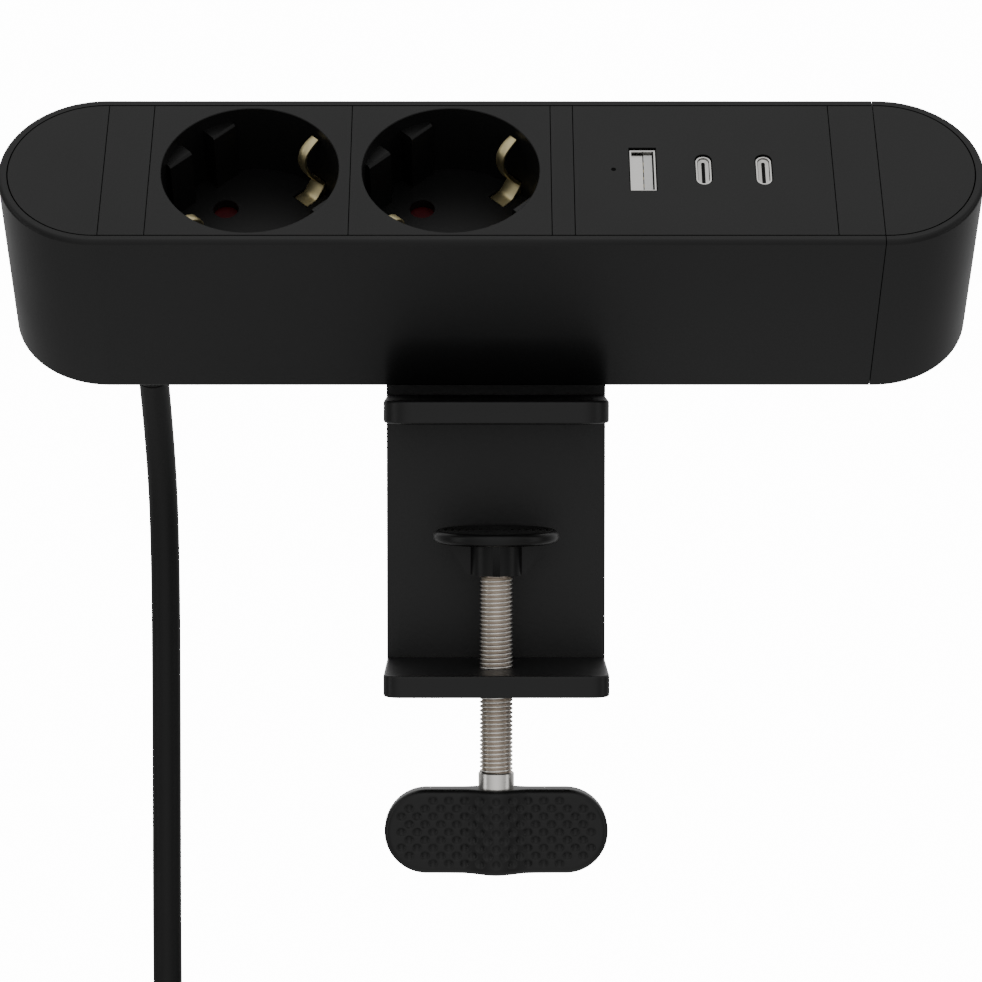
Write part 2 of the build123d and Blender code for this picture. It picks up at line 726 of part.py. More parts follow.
def retaining_clip():
    """The clip in the journal's groove, above the bush."""
    ring = rod(journal_radius + clip_ring, 0, 0, screw_tip - 0.78, screw_tip - 0.22)
    ring -= rod(journal_radius - 0.45, 0, 0, -far, 0)
    return ring - block(-0.9, 0.9, -far, 0, -far, 0)


def screw_collar():
    """The smooth metal collar between thread and knob."""
    collar = rod(screw_radius + collar_wall, 0, 0, collar_bottom, collar_top)
    collar = chamfer(collar.edges().filter_by(GeomType.CIRCLE).group_by(Axis.Z)[-1], 0.3)
    return collar - rod(screw_radius, 0, 0, -far, 0)


def knob():
    """The flat two-winged knob with its thicker middle."""
    centre = (knob_top + knob_bottom) / 2
    wings = extrude(Plane.XZ.offset(-knob_thickness / 2) * SlotOverall(knob_width, knob_height), knob_thickness)
    wings = fillet(wings.faces().filter_by(Axis.Y).edges(), knob_round)
    boss = rod(screw_radius + knob_boss_wall, 0, 0, -knob_height / 2, knob_height / 2)
    boss = fillet(boss.edges().filter_by(GeomType.CIRCLE), knob_round)
    grip = Pos(0, 0, centre) * (wings + boss)
    return grip - rod(screw_radius, 0, 0, knob_top - knob_bore_depth, 0)


# ---------------------------------------------------------------- mains lead
gland_end = tilted_point(lead_u, 0, -body_height - gland_length)
lead_route = [
    (gland_end.X, gland_end.Y, gland_end.Z),
    (-81.7, 52.4, -10.9),
    (-81.9, 63.6, -38.5),
    (-82.3, 67.4, -84.0),
    (-82.6, 67.9, -139.0),
    (-82.2, 67.6, -177.0),
]
tail_route = [
    (-55.5, 61.8, -156.3),
    (-71.5, 60.4, -167.2),
    (-81.0, 57.2, -184.9),
    (-81.8, 54.0, -203.0),
    plug_entry,
]


def cord_tube(route, name):
    """A round tube along straight runs joined by arcs as large as the runs allow."""
    points = [Vector(*p) for p in route]
    radii = []
    for before, here, after in zip(points, points[1:], points[2:]):
        turn = math.radians((here - before).get_angle(after - here))
        run = min((here - before).length, (after - here).length)
        radii.append(0.45 * run / math.tan(turn / 2))
    path = FilletPolyline(*points, radius=radii)
    section = Plane(origin=path @ 0, z_dir=path % 0) * Circle(lead_radius)
    tube = sweep(section, path=path)
    expected = math.pi * lead_radius ** 2 * path.length
    print(name, "radii", [round(r, 1) for r in radii], "length", round(path.length, 1),
          "volume ratio", round(tube.volume / expected, 4))
    return tube


def cable_gland():
    """The tapered strain relief where the lead leaves the base cover."""
    neck = gland_radii[0] - gland_neck_step
    gland = rod(neck, 0, 0, -body_height - 0.5, base_top + 0.5)
    gland += rod(neck + 2.2, 0, 0, base_top, base_top + 2.2)
    taper = Cone(gland_radii[1], gland_radii[0], gland_length)
    gland += Pos(0, 0, -body_height - gland_length / 2) * taper
    return Pos(lead_u, 0, 0) * (gland - rod(lead_radius - gland_squeeze, 0, 0, -far / 2, 0))


def coil_ring(inner, outer, half_width):
    """A ring about the coil's own level axis."""
    ring = Cylinder(outer, 2 * half_width) - Cylinder(inner, 4 * half_width)
    return Pos(*coil_centre) * Rot(90, 0, 0) * ring


def lead_coil():
    """The outer shape of the tied coil of spare lead."""
    ring = coil_ring(coil_inside, coil_outside, coil_half_width)
    return fillet(ring.edges().filter_by(GeomType.CIRCLE), coil_edge_round)


def coil_tie():
    """The strap round the coil's turns."""
    strap = coil_ring(coil_inside - tie_thickness, coil_outside + tie_thickness, coil_half_width + tie_thickness)
    strap -= coil_ring(coil_inside, coil_outside, coil_half_width)
    stretch = block(0, far, -far, far, -tie_width / 2, tie_width / 2)
    return strap & Pos(*coil_centre) * Rot(0, -tie_angle, 0) * stretch


def plug_body():
    """The moulded earthed plug: round face, thick back and a tapered strain relief."""
    x, y, z = plug_entry
    body = Pos(x, y, plug_centre_z) * Rot(90, 0, 0) * Cylinder(plug_radius, plug_thickness)
    body = fillet(body.edges().filter_by(GeomType.CIRCLE), 2.0)
    thin, thick = [lead_radius + extra for extra in plug_relief_walls]
    body += Pos(x, y, z - plug_relief_length / 2) * Cone(thick, thin, plug_relief_length)
    body += block(x - 7, x + 7, y - 7, y + 7, plug_centre_z, z - plug_relief_length + 1)
    side_depth, earth_depth = plug_groove_depth
    back = plug_front + plug_groove_length
    for side in (-1, 1):
        body -= block(x + side * (plug_radius - side_depth), x + side * plug_radius, plug_front - 1, back,
                      plug_centre_z - 3, plug_centre_z + 3)
        body -= block(x - 3.2, x + 3.2, plug_front - 1, back, plug_centre_z + side * (plug_radius + 1),
                      plug_centre_z + side * (plug_radius - earth_depth))
        body -= plug_pin(side)
    return body


def plug_pin(side):
    """One round pin, let into the plug's face."""
    length = plug_pin_length + plug_pin_depth
    middle = plug_front + plug_pin_depth - length / 2
    pin = Pos(plug_entry[0] + side * pin_spacing / 2, middle, plug_centre_z) * Rot(90, 0, 0)
    return pin * Cylinder(pin_radius, length)


def plug_pins():
    """The plug's two contact pins."""
    pins = []
    for side in (-1, 1):
        pin = plug_pin(side)
        tip = pin.edges().filter_by(GeomType.CIRCLE).sort_by(Axis.Y)[0]
        pins.append(fillet(tip, pin_radius / 2))
    return pins


def plug_earth_contacts():
    """The flat earth springs in the plug's upper and lower grooves."""
    x = plug_entry[0]
    strips = []
    for side in (-1, 1):
        edge = plug_centre_z + side * (plug_radius - plug_groove_depth[1])
        strips.append(block(x - 2.4, x + 2.4, plug_front + 0.4, plug_front + plug_groove_length - 0.2,
                            edge, edge + side * 0.7))
    return strips


# ---------------------------------------------------------------- the whole assembly
def add(name, shape):
    """Write one node; a list is a group of separate solids."""
    if isinstance(shape, (list, tuple)):
        shape = Compound(children=[piece.solid() for piece in shape])
    nodes[name] = shape
    export_step(shape, f"parts/{name}.step")


def add_tilted(name, shape):
    """Write one node that belongs to the tilted body."""
    group = isinstance(shape, (list, tuple))
    add(name, [tilted(piece) for piece in shape] if group else tilted(shape))


long_housing, end_cap = split_housing()
add_tilted("housing_shell", long_housing)
add_tilted("right_end_cap", end_cap)
add_tilted("base_cover", base_cover())
add_tilted("left_end_insert", end_insert(-1))
add_tilted("left_spacer", face_plate(seam_left, socket_left))
add_tilted("centre_spacer", face_plate(centre_left, usb_left))
add_tilted("right_spacer", face_plate(usb_right, seam_right))
add_tilted("right_end_insert", end_insert(1))
for number, socket_u in enumerate(socket_us, start=1):
    add_tilted(f"socket_{number}_face", socket_face(socket_u))
    add_tilted(f"socket_{number}_earth_clips", earth_clips(socket_u))
    add_tilted(f"socket_{number}_shutter", shutter(socket_u))
    add_tilted(f"socket_{number}_shutter_spring", return_spring(socket_u))
    add_tilted(f"socket_{number}_contact_carrier", contact_carrier(socket_u))
    add_tilted(f"socket_{number}_pin_contacts", pin_contacts(socket_u))
add_tilted("live_busbar", busbar(1))
add_tilted("neutral_busbar", busbar(-1))
add_tilted("earth_busbar", earth_bar())
add_tilted("terminal_block", terminal_block())
add_tilted("terminal_screws", terminal_screws())
add_tilted("usb_face", usb_face())
add_tilted("usb_a_shell", usb_a_shell())
add_tilted("usb_a_tongue", usb_a_tongue())
add_tilted("usb_c_shells", usb_c_shells())
add_tilted("usb_c_tongues", usb_c_tongues())
add_tilted("charger_board", circuit_board())
add_tilted("charger_components", board_parts())
add_tilted("status_light_pipe", light_pipe())
add_tilted("base_screws", base_screws())
add_tilted("flange_screws", flange_screws())
add_tilted("threaded_inserts", threaded_inserts())
add_tilted("cable_gland", cable_gland())
add("clamp_frame", clamp_frame())
add("jaw_pad", jaw_pad())
add("swivel_bush", swivel_bush())
add("pad_base", pad_base())
add("pad_rubber", rod(rubber_radius - rubber_gap, 0, 0, pad_top - rubber_thickness, pad_top))
add("pad_retainer", pad_retainer())
add("clamp_screw", clamp_screw())
add("retaining_clip", retaining_clip())
add("screw_collar", screw_collar())
add("knob", knob())
add("mains_lead", cord_tube(lead_route, "mains_lead"))
add("lead_coil", lead_coil())
add("lead_tail", cord_tube(tail_route, "lead_tail"))
add("coil_tie", coil_tie())
add("plug_body", plug_body())
add("plug_pins", plug_pins())
add("plug_earth_contacts", plug_earth_contacts())
print(len(nodes), "nodes, body length", round(body_length, 1))
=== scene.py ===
import json
import math

import bmesh
import bpy
from mathutils import Matrix, Vector


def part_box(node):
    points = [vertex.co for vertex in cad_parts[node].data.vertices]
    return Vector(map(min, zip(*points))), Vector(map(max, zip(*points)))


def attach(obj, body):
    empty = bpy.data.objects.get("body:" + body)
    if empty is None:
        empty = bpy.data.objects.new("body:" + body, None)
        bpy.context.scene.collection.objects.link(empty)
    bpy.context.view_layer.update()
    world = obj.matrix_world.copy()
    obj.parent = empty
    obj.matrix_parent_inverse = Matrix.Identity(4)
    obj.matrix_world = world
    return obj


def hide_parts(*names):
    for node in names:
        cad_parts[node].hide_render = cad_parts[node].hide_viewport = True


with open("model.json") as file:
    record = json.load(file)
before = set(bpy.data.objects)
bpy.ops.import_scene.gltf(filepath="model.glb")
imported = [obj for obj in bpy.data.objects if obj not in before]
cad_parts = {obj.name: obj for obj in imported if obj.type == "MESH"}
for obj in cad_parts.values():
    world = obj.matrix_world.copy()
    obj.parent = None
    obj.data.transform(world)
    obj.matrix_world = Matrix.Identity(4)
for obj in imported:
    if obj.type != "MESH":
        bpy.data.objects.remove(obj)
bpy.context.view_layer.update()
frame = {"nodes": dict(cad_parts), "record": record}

# %% [markdown]
# # A clamp-on desk power strip
# The strip is a long round-ended body with two earthed sockets and a charger. It leans back on a
# C-clamp that grips the far edge of a desk. The engineering model is already in place; here it
# gets its finishes, and the pieces whose shape needs more care are made again in detail.
# Every length below is in metres. The body has its own directions: u along it, v back along the
# sloping face, w out of that face, and one matrix takes a point from there to the desk's frame.

# %% The frame and the body's own directions
bodies = frame["record"]["behaviour"]["bodies"]
body_of = {node: body for body, nodes in bodies.items() for node in nodes}
tilt = math.radians(45)
body_middle = Vector((-0.00117, -0.0162006, 0.0576975))
to_desk = Matrix.Translation(body_middle) @ Matrix.Rotation(tilt, 4, "X")

# %% [markdown]
# ## The camera
# A long lens a good arm's length away looks very slightly down on the strip, so that parallel
# edges stay nearly parallel and the sloping face and its front wall are both seen.

# %% Camera
camera_data = bpy.data.cameras.new("camera")
camera_data.sensor_width = 36.0
camera_data.lens = 129.4
camera = bpy.data.objects.new("camera", camera_data)
camera.location = (-0.0029, -0.8103, 0.0430)
camera.rotation_euler = (math.radians(90 - 4.147), 0, math.radians(-0.12))
bpy.context.scene.collection.objects.link(camera)
bpy.context.scene.camera = camera
print("camera lens", camera_data.lens)

# %% [markdown]
# ## The mains lead
# The real lead is a 1.7 m round flexible cable. It leaves the body underneath, bends down behind
# the edge of the desk, and its spare length hangs there in a tied coil with the plug beside it.
# It could be swept from arcs and straight runs, but cable never bends like wire. One NURBS
# curve through a few route points gives the easy line that it takes, and the coil's turns are
# just more points of the same curve: sixteen for each turn, with their circle made a little
# larger, because the curve cuts inside its points.

# %% The lead's route
lead_thickness = 0.0072
lead_exit = (-0.08167, 0.03188, 0.00962)
lead_route = [lead_exit, (-0.0817, 0.0524, -0.0109), (-0.0819, 0.0636, -0.0385), (-0.0823, 0.0674, -0.0840),
              (-0.0826, 0.0679, -0.1390), (-0.0822, 0.0676, -0.1770), (-0.0822, 0.0676, -0.1860)]
tail_route = [(-0.0810, 0.0572, -0.1849), (-0.0818, 0.0540, -0.2030), (-0.0810, 0.0520, -0.2190)]
coil_middle = Vector((-0.0406, 0.0748, -0.1950))
outer_turn, inner_turn, column = 0.0416, 0.0344, 0.0072
points_a_turn = 16
stages = [(0, outer_turn, -column), (295, outer_turn, -column), (345, outer_turn, 0), (655, outer_turn, 0),
          (705, outer_turn, column), (975, outer_turn, column), (1025, inner_turn, column),
          (1310, inner_turn, column), (1360, inner_turn, 0), (1670, inner_turn, 0),
          (1720, inner_turn, -column), (2035, inner_turn, -column), (2090, 0.0385, -0.0136),
          (2130, 0.0416, -0.0165)]


def coil_point(angle, spread=1.0):
    """A point of the coil at an angle from its left-most point, going down first."""
    for (start, r0, y0), (end, r1, y1) in zip(stages, stages[1:]):
        if angle <= end:
            break
    share = (angle - start) / (end - start)
    radius = (r0 + (r1 - r0) * share) * spread
    turn = math.radians(angle)
    return coil_middle + Vector((-radius * math.cos(turn), y0 + (y1 - y0) * share, -radius * math.sin(turn)))


step = 360 / points_a_turn
spread = 1 / math.cos(math.radians(step / 2))
turns = [coil_point(step * k, spread) for k in range(1, int(2130 / step) + 1)]
route = lead_route + turns + tail_route
print("route points", len(route), "turns", round(2130 / 360, 2))

# %% The lead as one curve
lead_curve = bpy.data.curves.new("mains_lead_cable", "CURVE")
lead_curve.dimensions = "3D"
spline = lead_curve.splines.new("NURBS")
spline.points.add(len(route) - 1)
for point, place in zip(spline.points, route):
    point.co = (*place, 1.0)
spline.order_u = 3
spline.use_endpoint_u = True
spline.resolution_u = 6
lead_curve.bevel_depth = lead_thickness / 2
lead_curve.bevel_resolution = 5
lead_curve.use_fill_caps = True
lead = bpy.data.objects.new("mains_lead_cable", lead_curve)
bpy.context.scene.collection.objects.link(lead)


def lead_line():
    """The points that the lead's own curve passes through, from a copy with no thickness."""
    line = lead_curve.copy()
    line.bevel_depth = 0
    holder = bpy.data.objects.new("line", line)
    mesh = bpy.data.meshes.new_from_object(holder)
    points = [v.co.copy() for v in mesh.vertices]
    bpy.data.objects.remove(holder)
    return points


line = lead_line()
lead_length = sum((b - a).length for a, b in zip(line, line[1:]))
print("lead length", round(lead_length, 4))

# %% [markdown]
# ## Arithmetic in a material
# A finish is worked out by nodes, and a sum of nodes is hard to read. A small class wraps a
# node's socket, so that `1 - grain * 0.2` writes its Math nodes itself. The same class works in
# a shader and in Geometry Nodes, because both have the Math node.

# %% A value that writes its own Math nodes
class Term:
    """A number that flows through a node tree."""

    def __init__(self, tree, socket):
        self.tree, self.socket = tree, socket

    def sum(self, operation, *values):
        node = self.tree.node("ShaderNodeMath", {"operation": operation}, dict(enumerate(values)))
        return Term(self.tree, node.outputs[0])

    def __add__(self, other):
        return self.sum("ADD", self, other)

    def __sub__(self, other):
        return self.sum("SUBTRACT", self, other)

    def __rsub__(self, other):
        return self.sum("SUBTRACT", other, self)

    def __mul__(self, other):
        return self.sum("MULTIPLY", self, other)

    def __truediv__(self, other):
        return self.sum("DIVIDE", self, other)

    def __rtruediv__(self, other):
        return self.sum("DIVIDE", other, self)

    def __pow__(self, other):
        return self.sum("POWER", self, other)

    def __lt__(self, other):
        return self.sum("LESS_THAN", self, other)

    def __gt__(self, other):
        return self.sum("GREATER_THAN", self, other)

    __radd__, __rmul__ = __add__, __mul__


# %% Nodes of any kind
class Nodes:
    """A node tree, with one method that adds any node."""

    def node(self, kind, settings=None, sockets=None):
        node = self.nodes.new(kind)
        for name, value in (settings or {}).items():
            setattr(node, name, value)
        for name, value in (sockets or {}).items():
            self.put(node.inputs[name], value)
        return node

    def put(self, socket, value):
        value = value.socket if isinstance(value, Term) else value
        if isinstance(value, bpy.types.NodeSocket):
            self.links.new(value, socket)
        else:
            socket.default_value = value


# %% [markdown]
# ## A finish
# Each finish is one Principled shader. What is the same all over is a number on the shader, and
# only the colour, the roughness and the bump change from place to place. The patterns are read
# in the object's own metres, so a grain of 0.3 mm is 0.3 mm on every piece.

# %% The finish and its patterns
class Finish(Nodes):
    """One material, with the patterns that moulded, cast and turned surfaces need."""

    def __init__(self, name, **shader):
        self.material = bpy.data.materials.new(name)
        self.material.use_nodes = True
        self.nodes, self.links = self.material.node_tree.nodes, self.material.node_tree.links
        self.shader = self.nodes["Principled BSDF"]
        for socket, value in shader.items():
            self.shader.inputs[socket.replace("_", " ")].default_value = value
        self.place = self.node("ShaderNodeTexCoord").outputs["Object"]

    def about(self, centre=(0, 0, 0), turn=(0, 0, 0), size=(1, 1, 1)):
        """The piece's own coordinates, centred on a point, turned, and stretched."""
        shift = self.node("ShaderNodeVectorMath", {"operation": "SUBTRACT"}, {0: self.place, 1: centre})
        return self.node("ShaderNodeMapping", {}, {"Vector": shift.outputs[0], "Rotation": turn,
                                                   "Scale": size}).outputs[0]

    def speckle(self, grain, detail=2.0, where=None, rough=0.5):
        """Soft noise whose spots are about one grain across, from 0 to 1."""
        noise = self.node("ShaderNodeTexNoise", {}, {"Vector": where or self.place, "Scale": 1 / grain,
                                                     "Detail": detail, "Roughness": rough})
        return Term(self, noise.outputs["Fac"])

    def cells(self, grain, where=None):
        """The distance to the nearest of many scattered points, in grains."""
        cells = self.node("ShaderNodeTexVoronoi", {}, {"Vector": where or self.place, "Scale": 1 / grain})
        return Term(self, cells.outputs["Distance"])

    def part(self, vector, axis):
        """One coordinate of a vector."""
        return Term(self, self.node("ShaderNodeSeparateXYZ", {}, {0: vector}).outputs[axis])

    def blend(self, share, first, second):
        """A colour that goes from the first to the second as share goes from 0 to 1."""
        mix = self.node("ShaderNodeMix", {"data_type": "RGBA"}, {0: share, 6: (*first, 1), 7: (*second, 1)})
        return mix.outputs[2]

    def surface(self, colour=None, roughness=None, height=None, depth=0.0):
        """Send a colour, a roughness and a height, in depths, to the shader."""
        if colour is not None:
            self.put(self.shader.inputs["Base Color"], colour)
        if roughness is not None:
            self.put(self.shader.inputs["Roughness"], roughness)
        if height is not None:
            bump = self.node("ShaderNodeBump", {}, {"Height": height, "Distance": depth, "Strength": 1.0})
            self.put(self.shader.inputs["Normal"], bump.outputs["Normal"])
        return self.material


finishes = {}

# %% [markdown]
# ## Black mouldings
# The housing is moulded in a black that is satin rather than dull: a spark-eroded tool leaves a
# grain of about a quarter of a millimetre. A flat black would look like a hole. Here the grain
# is a shallow bump, the gloss changes a little over a centimetre, and the black itself drifts by
# a few parts in a hundred, as a real moulding's does.

# %% Moulded blacks
def moulded(name, dark, light, gloss, grain, depth, drift=0.02, **shader):
    """A moulded plastic: two near colours, a roughness, and a spark-eroded grain."""
    finish = Finish(name, **shader)
    fine = finish.speckle(grain, 3.0)
    slow = finish.speckle(drift, 1.0)
    colour = finish.blend(fine * 0.5 + slow * 0.5, dark, light)
    return finish.surface(colour, gloss + (slow - 0.5) * 0.12 + (fine - 0.5) * 0.08, fine, depth)


dull = {"Specular_IOR_Level": 0.3}
finishes["satin_black_housing"] = moulded("satin_black_housing", (0.0052, 0.0052, 0.0054),
                                          (0.0080, 0.0080, 0.0081), 0.38, 0.00026, 0.000012, **dull)
finishes["black_face_plastic"] = moulded("black_face_plastic", (0.0056, 0.0056, 0.0056),
                                         (0.0080, 0.0080, 0.0079), 0.42, 0.0003, 0.000014, **dull)
finishes["gloss_black_plastic"] = moulded("gloss_black_plastic", (0.0045, 0.0045, 0.0045),
                                          (0.0075, 0.0075, 0.0075), 0.34, 0.0006, 0.000005, **dull)
finishes["knob_plastic"] = moulded("knob_plastic", (0.0050, 0.0050, 0.0051), (0.0080, 0.0080, 0.0080),
                                   0.36, 0.0003, 0.00001, Specular_IOR_Level=0.37)
finishes["black_tongue"] = moulded("black_tongue", (0.002, 0.002, 0.002), (0.004, 0.004, 0.004), 0.5, 0.0003, 0.00001,
                                   Specular_IOR_Level=0.1)
finishes["red_plastic"] = moulded("red_plastic", (0.045, 0.001, 0.003), (0.065, 0.002, 0.004), 0.35, 0.0004,
                                  0.00001)
finishes["white_plastic"] = moulded("white_plastic", (0.70, 0.70, 0.68), (0.80, 0.80, 0.79), 0.35, 0.0003,
                                    0.000008)
finishes["grey_insulator"] = moulded("grey_insulator", (0.20, 0.20, 0.21), (0.27, 0.27, 0.28), 0.5, 0.0004,
                                     0.00001)
finishes["nylon_bush"] = moulded("nylon_bush", (0.62, 0.60, 0.54), (0.72, 0.70, 0.64), 0.45, 0.0005, 0.000008,
                                 Subsurface_Weight=0.1, Subsurface_Scale=0.001)
finishes["lead_jacket"] = moulded("lead_jacket", (0.0040, 0.0040, 0.0040), (0.0072, 0.0072, 0.0072), 0.48,
                                  0.0005, 0.00002, 0.03, **dull)
print("moulded finishes", len(finishes))

# %% [markdown]
# ## Powder coat and rubber
# The clamp is cast, then powder coated. Powder flows into low round hills about a millimetre
# apart, the skin known as orange peel, with a much finer tooth on top. Rubber is duller, with
# small pits and a little pale dust in them.

# %% Powder coat and rubber
coat = Finish("black_powder_coat", Specular_IOR_Level=0.37)
hills, tooth = coat.speckle(0.0011, 1.0), coat.speckle(0.00018, 2.0)
finishes["black_powder_coat"] = coat.surface(
    coat.blend(coat.speckle(0.015) * 0.6 + tooth * 0.4, (0.0055, 0.0055, 0.0056), (0.0095, 0.0095, 0.0097)),
    0.38 + (tooth - 0.5) * 0.16, hills * 0.7 + tooth * 0.3, 0.00003)
rubber = Finish("black_rubber", Specular_IOR_Level=0.25)
pits, dust = rubber.cells(0.0005), rubber.speckle(0.004, 4.0)
finishes["black_rubber"] = rubber.surface(
    rubber.blend(dust * 0.7 + pits * 0.2, (0.003, 0.003, 0.003), (0.012, 0.012, 0.0115)),
    0.68 + (dust - 0.5) * 0.2, pits, 0.00004)

# %% [markdown]
# ## Metals
# A metal's look is its reflections, so it needs few colours and a careful roughness. Turned
# parts carry rings round their axis, rolled sheet carries lines along it, and plated parts are
# slightly cloudy. The rings are noise squeezed along the axis; the lines are noise drawn out.
# The clamp screw carries painted shade in its thread: its colour is light on the crests and dark
# in the roots, following the distance from its axis.

# %% Metals
def metal(name, dark, light, gloss, stretch, grain=0.0003, depth=0.000004, cloud=0.006, turn=(0, 0, 0)):
    """A metal with marks that are long along one direction and short across it."""
    finish = Finish(name, Metallic=1.0)
    marks = finish.speckle(grain, 3.0, finish.about(turn=turn, size=stretch))
    clouds = finish.speckle(cloud, 3.0)
    colour = finish.blend(clouds * 0.7 + marks * 0.3, dark, light)
    return finish.surface(colour, gloss + (clouds - 0.5) * 0.14 + (marks - 0.5) * 0.12, marks, depth)


turned_rings, along_u, even = (0.03, 0.03, 1), (0.03, 1, 1), (1, 1, 1)
thread = Finish("nickel_screw", Metallic=1.0)
thread_crest, thread_root = 0.00375, 0.00345
off_axis = (thread.part(thread.place, 0) ** 2 + thread.part(thread.place, 1) ** 2) ** 0.5
# painted shade: the screw's colour darkens into the thread's roots and is lightest on its crests
painted_root_shade = (thread_crest - off_axis) / (thread_crest - thread_root)
painted_root_shade = painted_root_shade.sum("MINIMUM", painted_root_shade.sum("MAXIMUM", painted_root_shade, 0.0), 1.0) + (thread.speckle(0.002, 3.0) - 0.5) * 0.1
finishes["nickel_screw"] = thread.surface(thread.blend(painted_root_shade, (0.98, 0.95, 0.90), (0.56, 0.49, 0.42)),
                                          0.26 + painted_root_shade * 0.1)
bright_nickel = metal("bright_nickel", (0.93, 0.90, 0.85), (0.99, 0.97, 0.93), 0.24, turned_rings, depth=0.000002)
finishes["nickel_shell"] = metal("nickel_shell", (0.62, 0.61, 0.59), (0.74, 0.73, 0.71), 0.26, along_u)
finishes["brass"] = metal("brass", (0.62, 0.52, 0.27), (0.78, 0.70, 0.42), 0.42, along_u, turn=(tilt, 0, 0))
finishes["zinc_steel"] = metal("zinc_steel", (0.44, 0.45, 0.47), (0.60, 0.61, 0.62), 0.34, even, cloud=0.002)
finishes["spring_steel"] = metal("spring_steel", (0.30, 0.30, 0.31), (0.48, 0.48, 0.48), 0.28, even)
print("metals and coats", len(finishes))

# %% [markdown]
# ## Board, components and tie
# A circuit board is green varnish over copper tracks, which show as slightly raised, lighter
# bands. The tie round the coil is a woven strap: warp and weft are two sets of waves that pass
# over and under each other, out of step from one thread to the next.

# %% Board, components and woven tie
board = Finish("board_green", Coat_Weight=0.4, Coat_Roughness=0.2)
on_board = board.about(body_middle, (-tilt, 0, 0))
track_row = board.part(on_board, 1) / 0.0016
track = (track_row.sum("FRACT", track_row) - 0.5).sum("ABSOLUTE", track_row) < 0.2
finishes["board_green"] = board.surface(board.blend(track * 0.6 + board.speckle(0.001) * 0.3,
                                                    (0.008, 0.055, 0.020), (0.02, 0.13, 0.05)), 0.35, track, 0.00003)
can = Finish("component_grey")
finishes["component_grey"] = can.surface(can.blend(can.speckle(0.008, 3.0), (0.06, 0.06, 0.07), (0.22, 0.22, 0.23)),
                                         0.42 + can.speckle(0.002) * 0.1, can.speckle(0.0006), 0.00002)
strap = Finish("tie_fabric", Sheen_Weight=0.3, Sheen_Roughness=0.5)
thread_waves = 2 * math.pi / 0.0009
on_strap = strap.about(coil_middle, (0, math.radians(35), 0))
across, along = strap.part(on_strap, 2) * thread_waves, (strap.part(on_strap, 1)
                                                         + strap.part(on_strap, 0)) * thread_waves
weave = (across.sum("SINE", across) * along.sum("SINE", along)) * 0.5 + 0.5
finishes["tie_fabric"] = strap.surface(strap.blend(weave * 0.6 + strap.speckle(0.0004) * 0.4, (0.008, 0.008, 0.008),
                                                   (0.035, 0.035, 0.035)), 0.85, weave, 0.0001)
print("finishes in all", len(finishes))

# %% [markdown]
# ## Every engineering piece gets its finish
# The record says which slot each piece belongs to, so one loop dresses them all. Pieces that
# are made again below simply hide theirs. Two need a tone of their own: the polished collar
# under the knob, and the status light's lens, which is a dark pin-hole while it is off.

# %% Dress the pieces
slot_of = {row["node"]: row["material_slot"] for row in frame["record"]["subparts"]}
for name, slot in slot_of.items():
    for holder in frame["nodes"][name].material_slots:
        holder.material = finishes[slot]
dark_lens = moulded("dark_lens", (0.0005, 0.0005, 0.0005), (0.0009, 0.0009, 0.0009), 0.5, 0.0003, 0.00001,
                    Specular_IOR_Level=0.05)
for name, material in (("screw_collar", bright_nickel), ("status_light_pipe", dark_lens)):
    frame["nodes"][name].material_slots[0].material = material
print("dressed", len(slot_of), "of", len(frame["nodes"]))

# %% [markdown]
# ## Skins over rings
# Most turned, bent and moulded shapes are rings of points, one after another, with a skin of
# quads between them. One helper makes the skin, closes its ends, and turns its faces outward.
# A second puts the finished mesh on its body.

# %% Helpers for new pieces
def skin(name, rings, caps=True, crease=40, round_the_end=False):
    """A mesh stretched over rings of points; each ring is closed, and the ends may be too."""
    count, rows = len(rings[0]), len(rings)
    mesh = bpy.data.meshes.new(name)
    faces = []
    for i in range(rows if round_the_end else rows - 1):
        here, there = i * count, (i + 1) % rows * count
        faces += [(here + j, here + (j + 1) % count, there + (j + 1) % count, there + j) for j in range(count)]
    if caps:
        faces += [tuple(range(count)), tuple(range((rows - 1) * count, rows * count))]
    mesh.from_pydata([point for ring in rings for point in ring], [], faces)
    return tidy(mesh, crease)


def tidy(mesh, crease=40):
    """Merge doubles, point every face outward, and shade smooth but for real edges."""
    work = bmesh.new()
    work.from_mesh(mesh)
    bmesh.ops.remove_doubles(work, verts=work.verts, dist=2e-7)
    bmesh.ops.dissolve_degenerate(work, edges=work.edges, dist=1e-8)
    bmesh.ops.recalc_face_normals(work, faces=work.faces)
    work.to_mesh(mesh)
    work.free()
    mesh.shade_smooth()
    mesh.set_sharp_from_angle(angle=math.radians(crease))
    return mesh


def lathe(name, profile, sides=48, crease=40, place=Matrix()):
    """A turned shape about z, from (radius, z) pairs; its two ends close on the axis."""
    rings = [[place @ Vector((r * math.cos(t), r * math.sin(t), z))
              for t in (2 * math.pi * k / sides for k in range(sides))]
             for r, z in [(1e-7, profile[0][1])] + profile + [(1e-7, profile[-1][1])]]
    return skin(name, rings, True, crease)


def joined(name, meshes, crease=None):
    """Several meshes as one."""
    work = bmesh.new()
    for mesh in meshes:
        work.from_mesh(mesh)
    whole = bpy.data.meshes.new(name)
    work.to_mesh(whole)
    work.free()
    if crease:
        whole.set_sharp_from_angle(angle=math.radians(crease))
    return whole


def piece(name, mesh, slot, body, *replaced):
    """Show a mesh as a piece that moves with a body, in a slot's finish."""
    mesh.materials.clear()
    mesh.materials.append(finishes[slot])
    obj = bpy.data.objects.new(name, mesh)
    bpy.context.scene.collection.objects.link(obj)
    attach(obj, body)
    if replaced:
        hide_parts(*replaced)
    print(name, len(mesh.polygons), "faces")
    return obj


# %% [markdown]
# ## Recipes in Geometry Nodes
# What repeats or follows a rule is a node tree with named sizes, so that a pitch or a depth can
# be changed in one place. The tree is used once on a bare holder object, and the result is
# kept as a plain mesh.

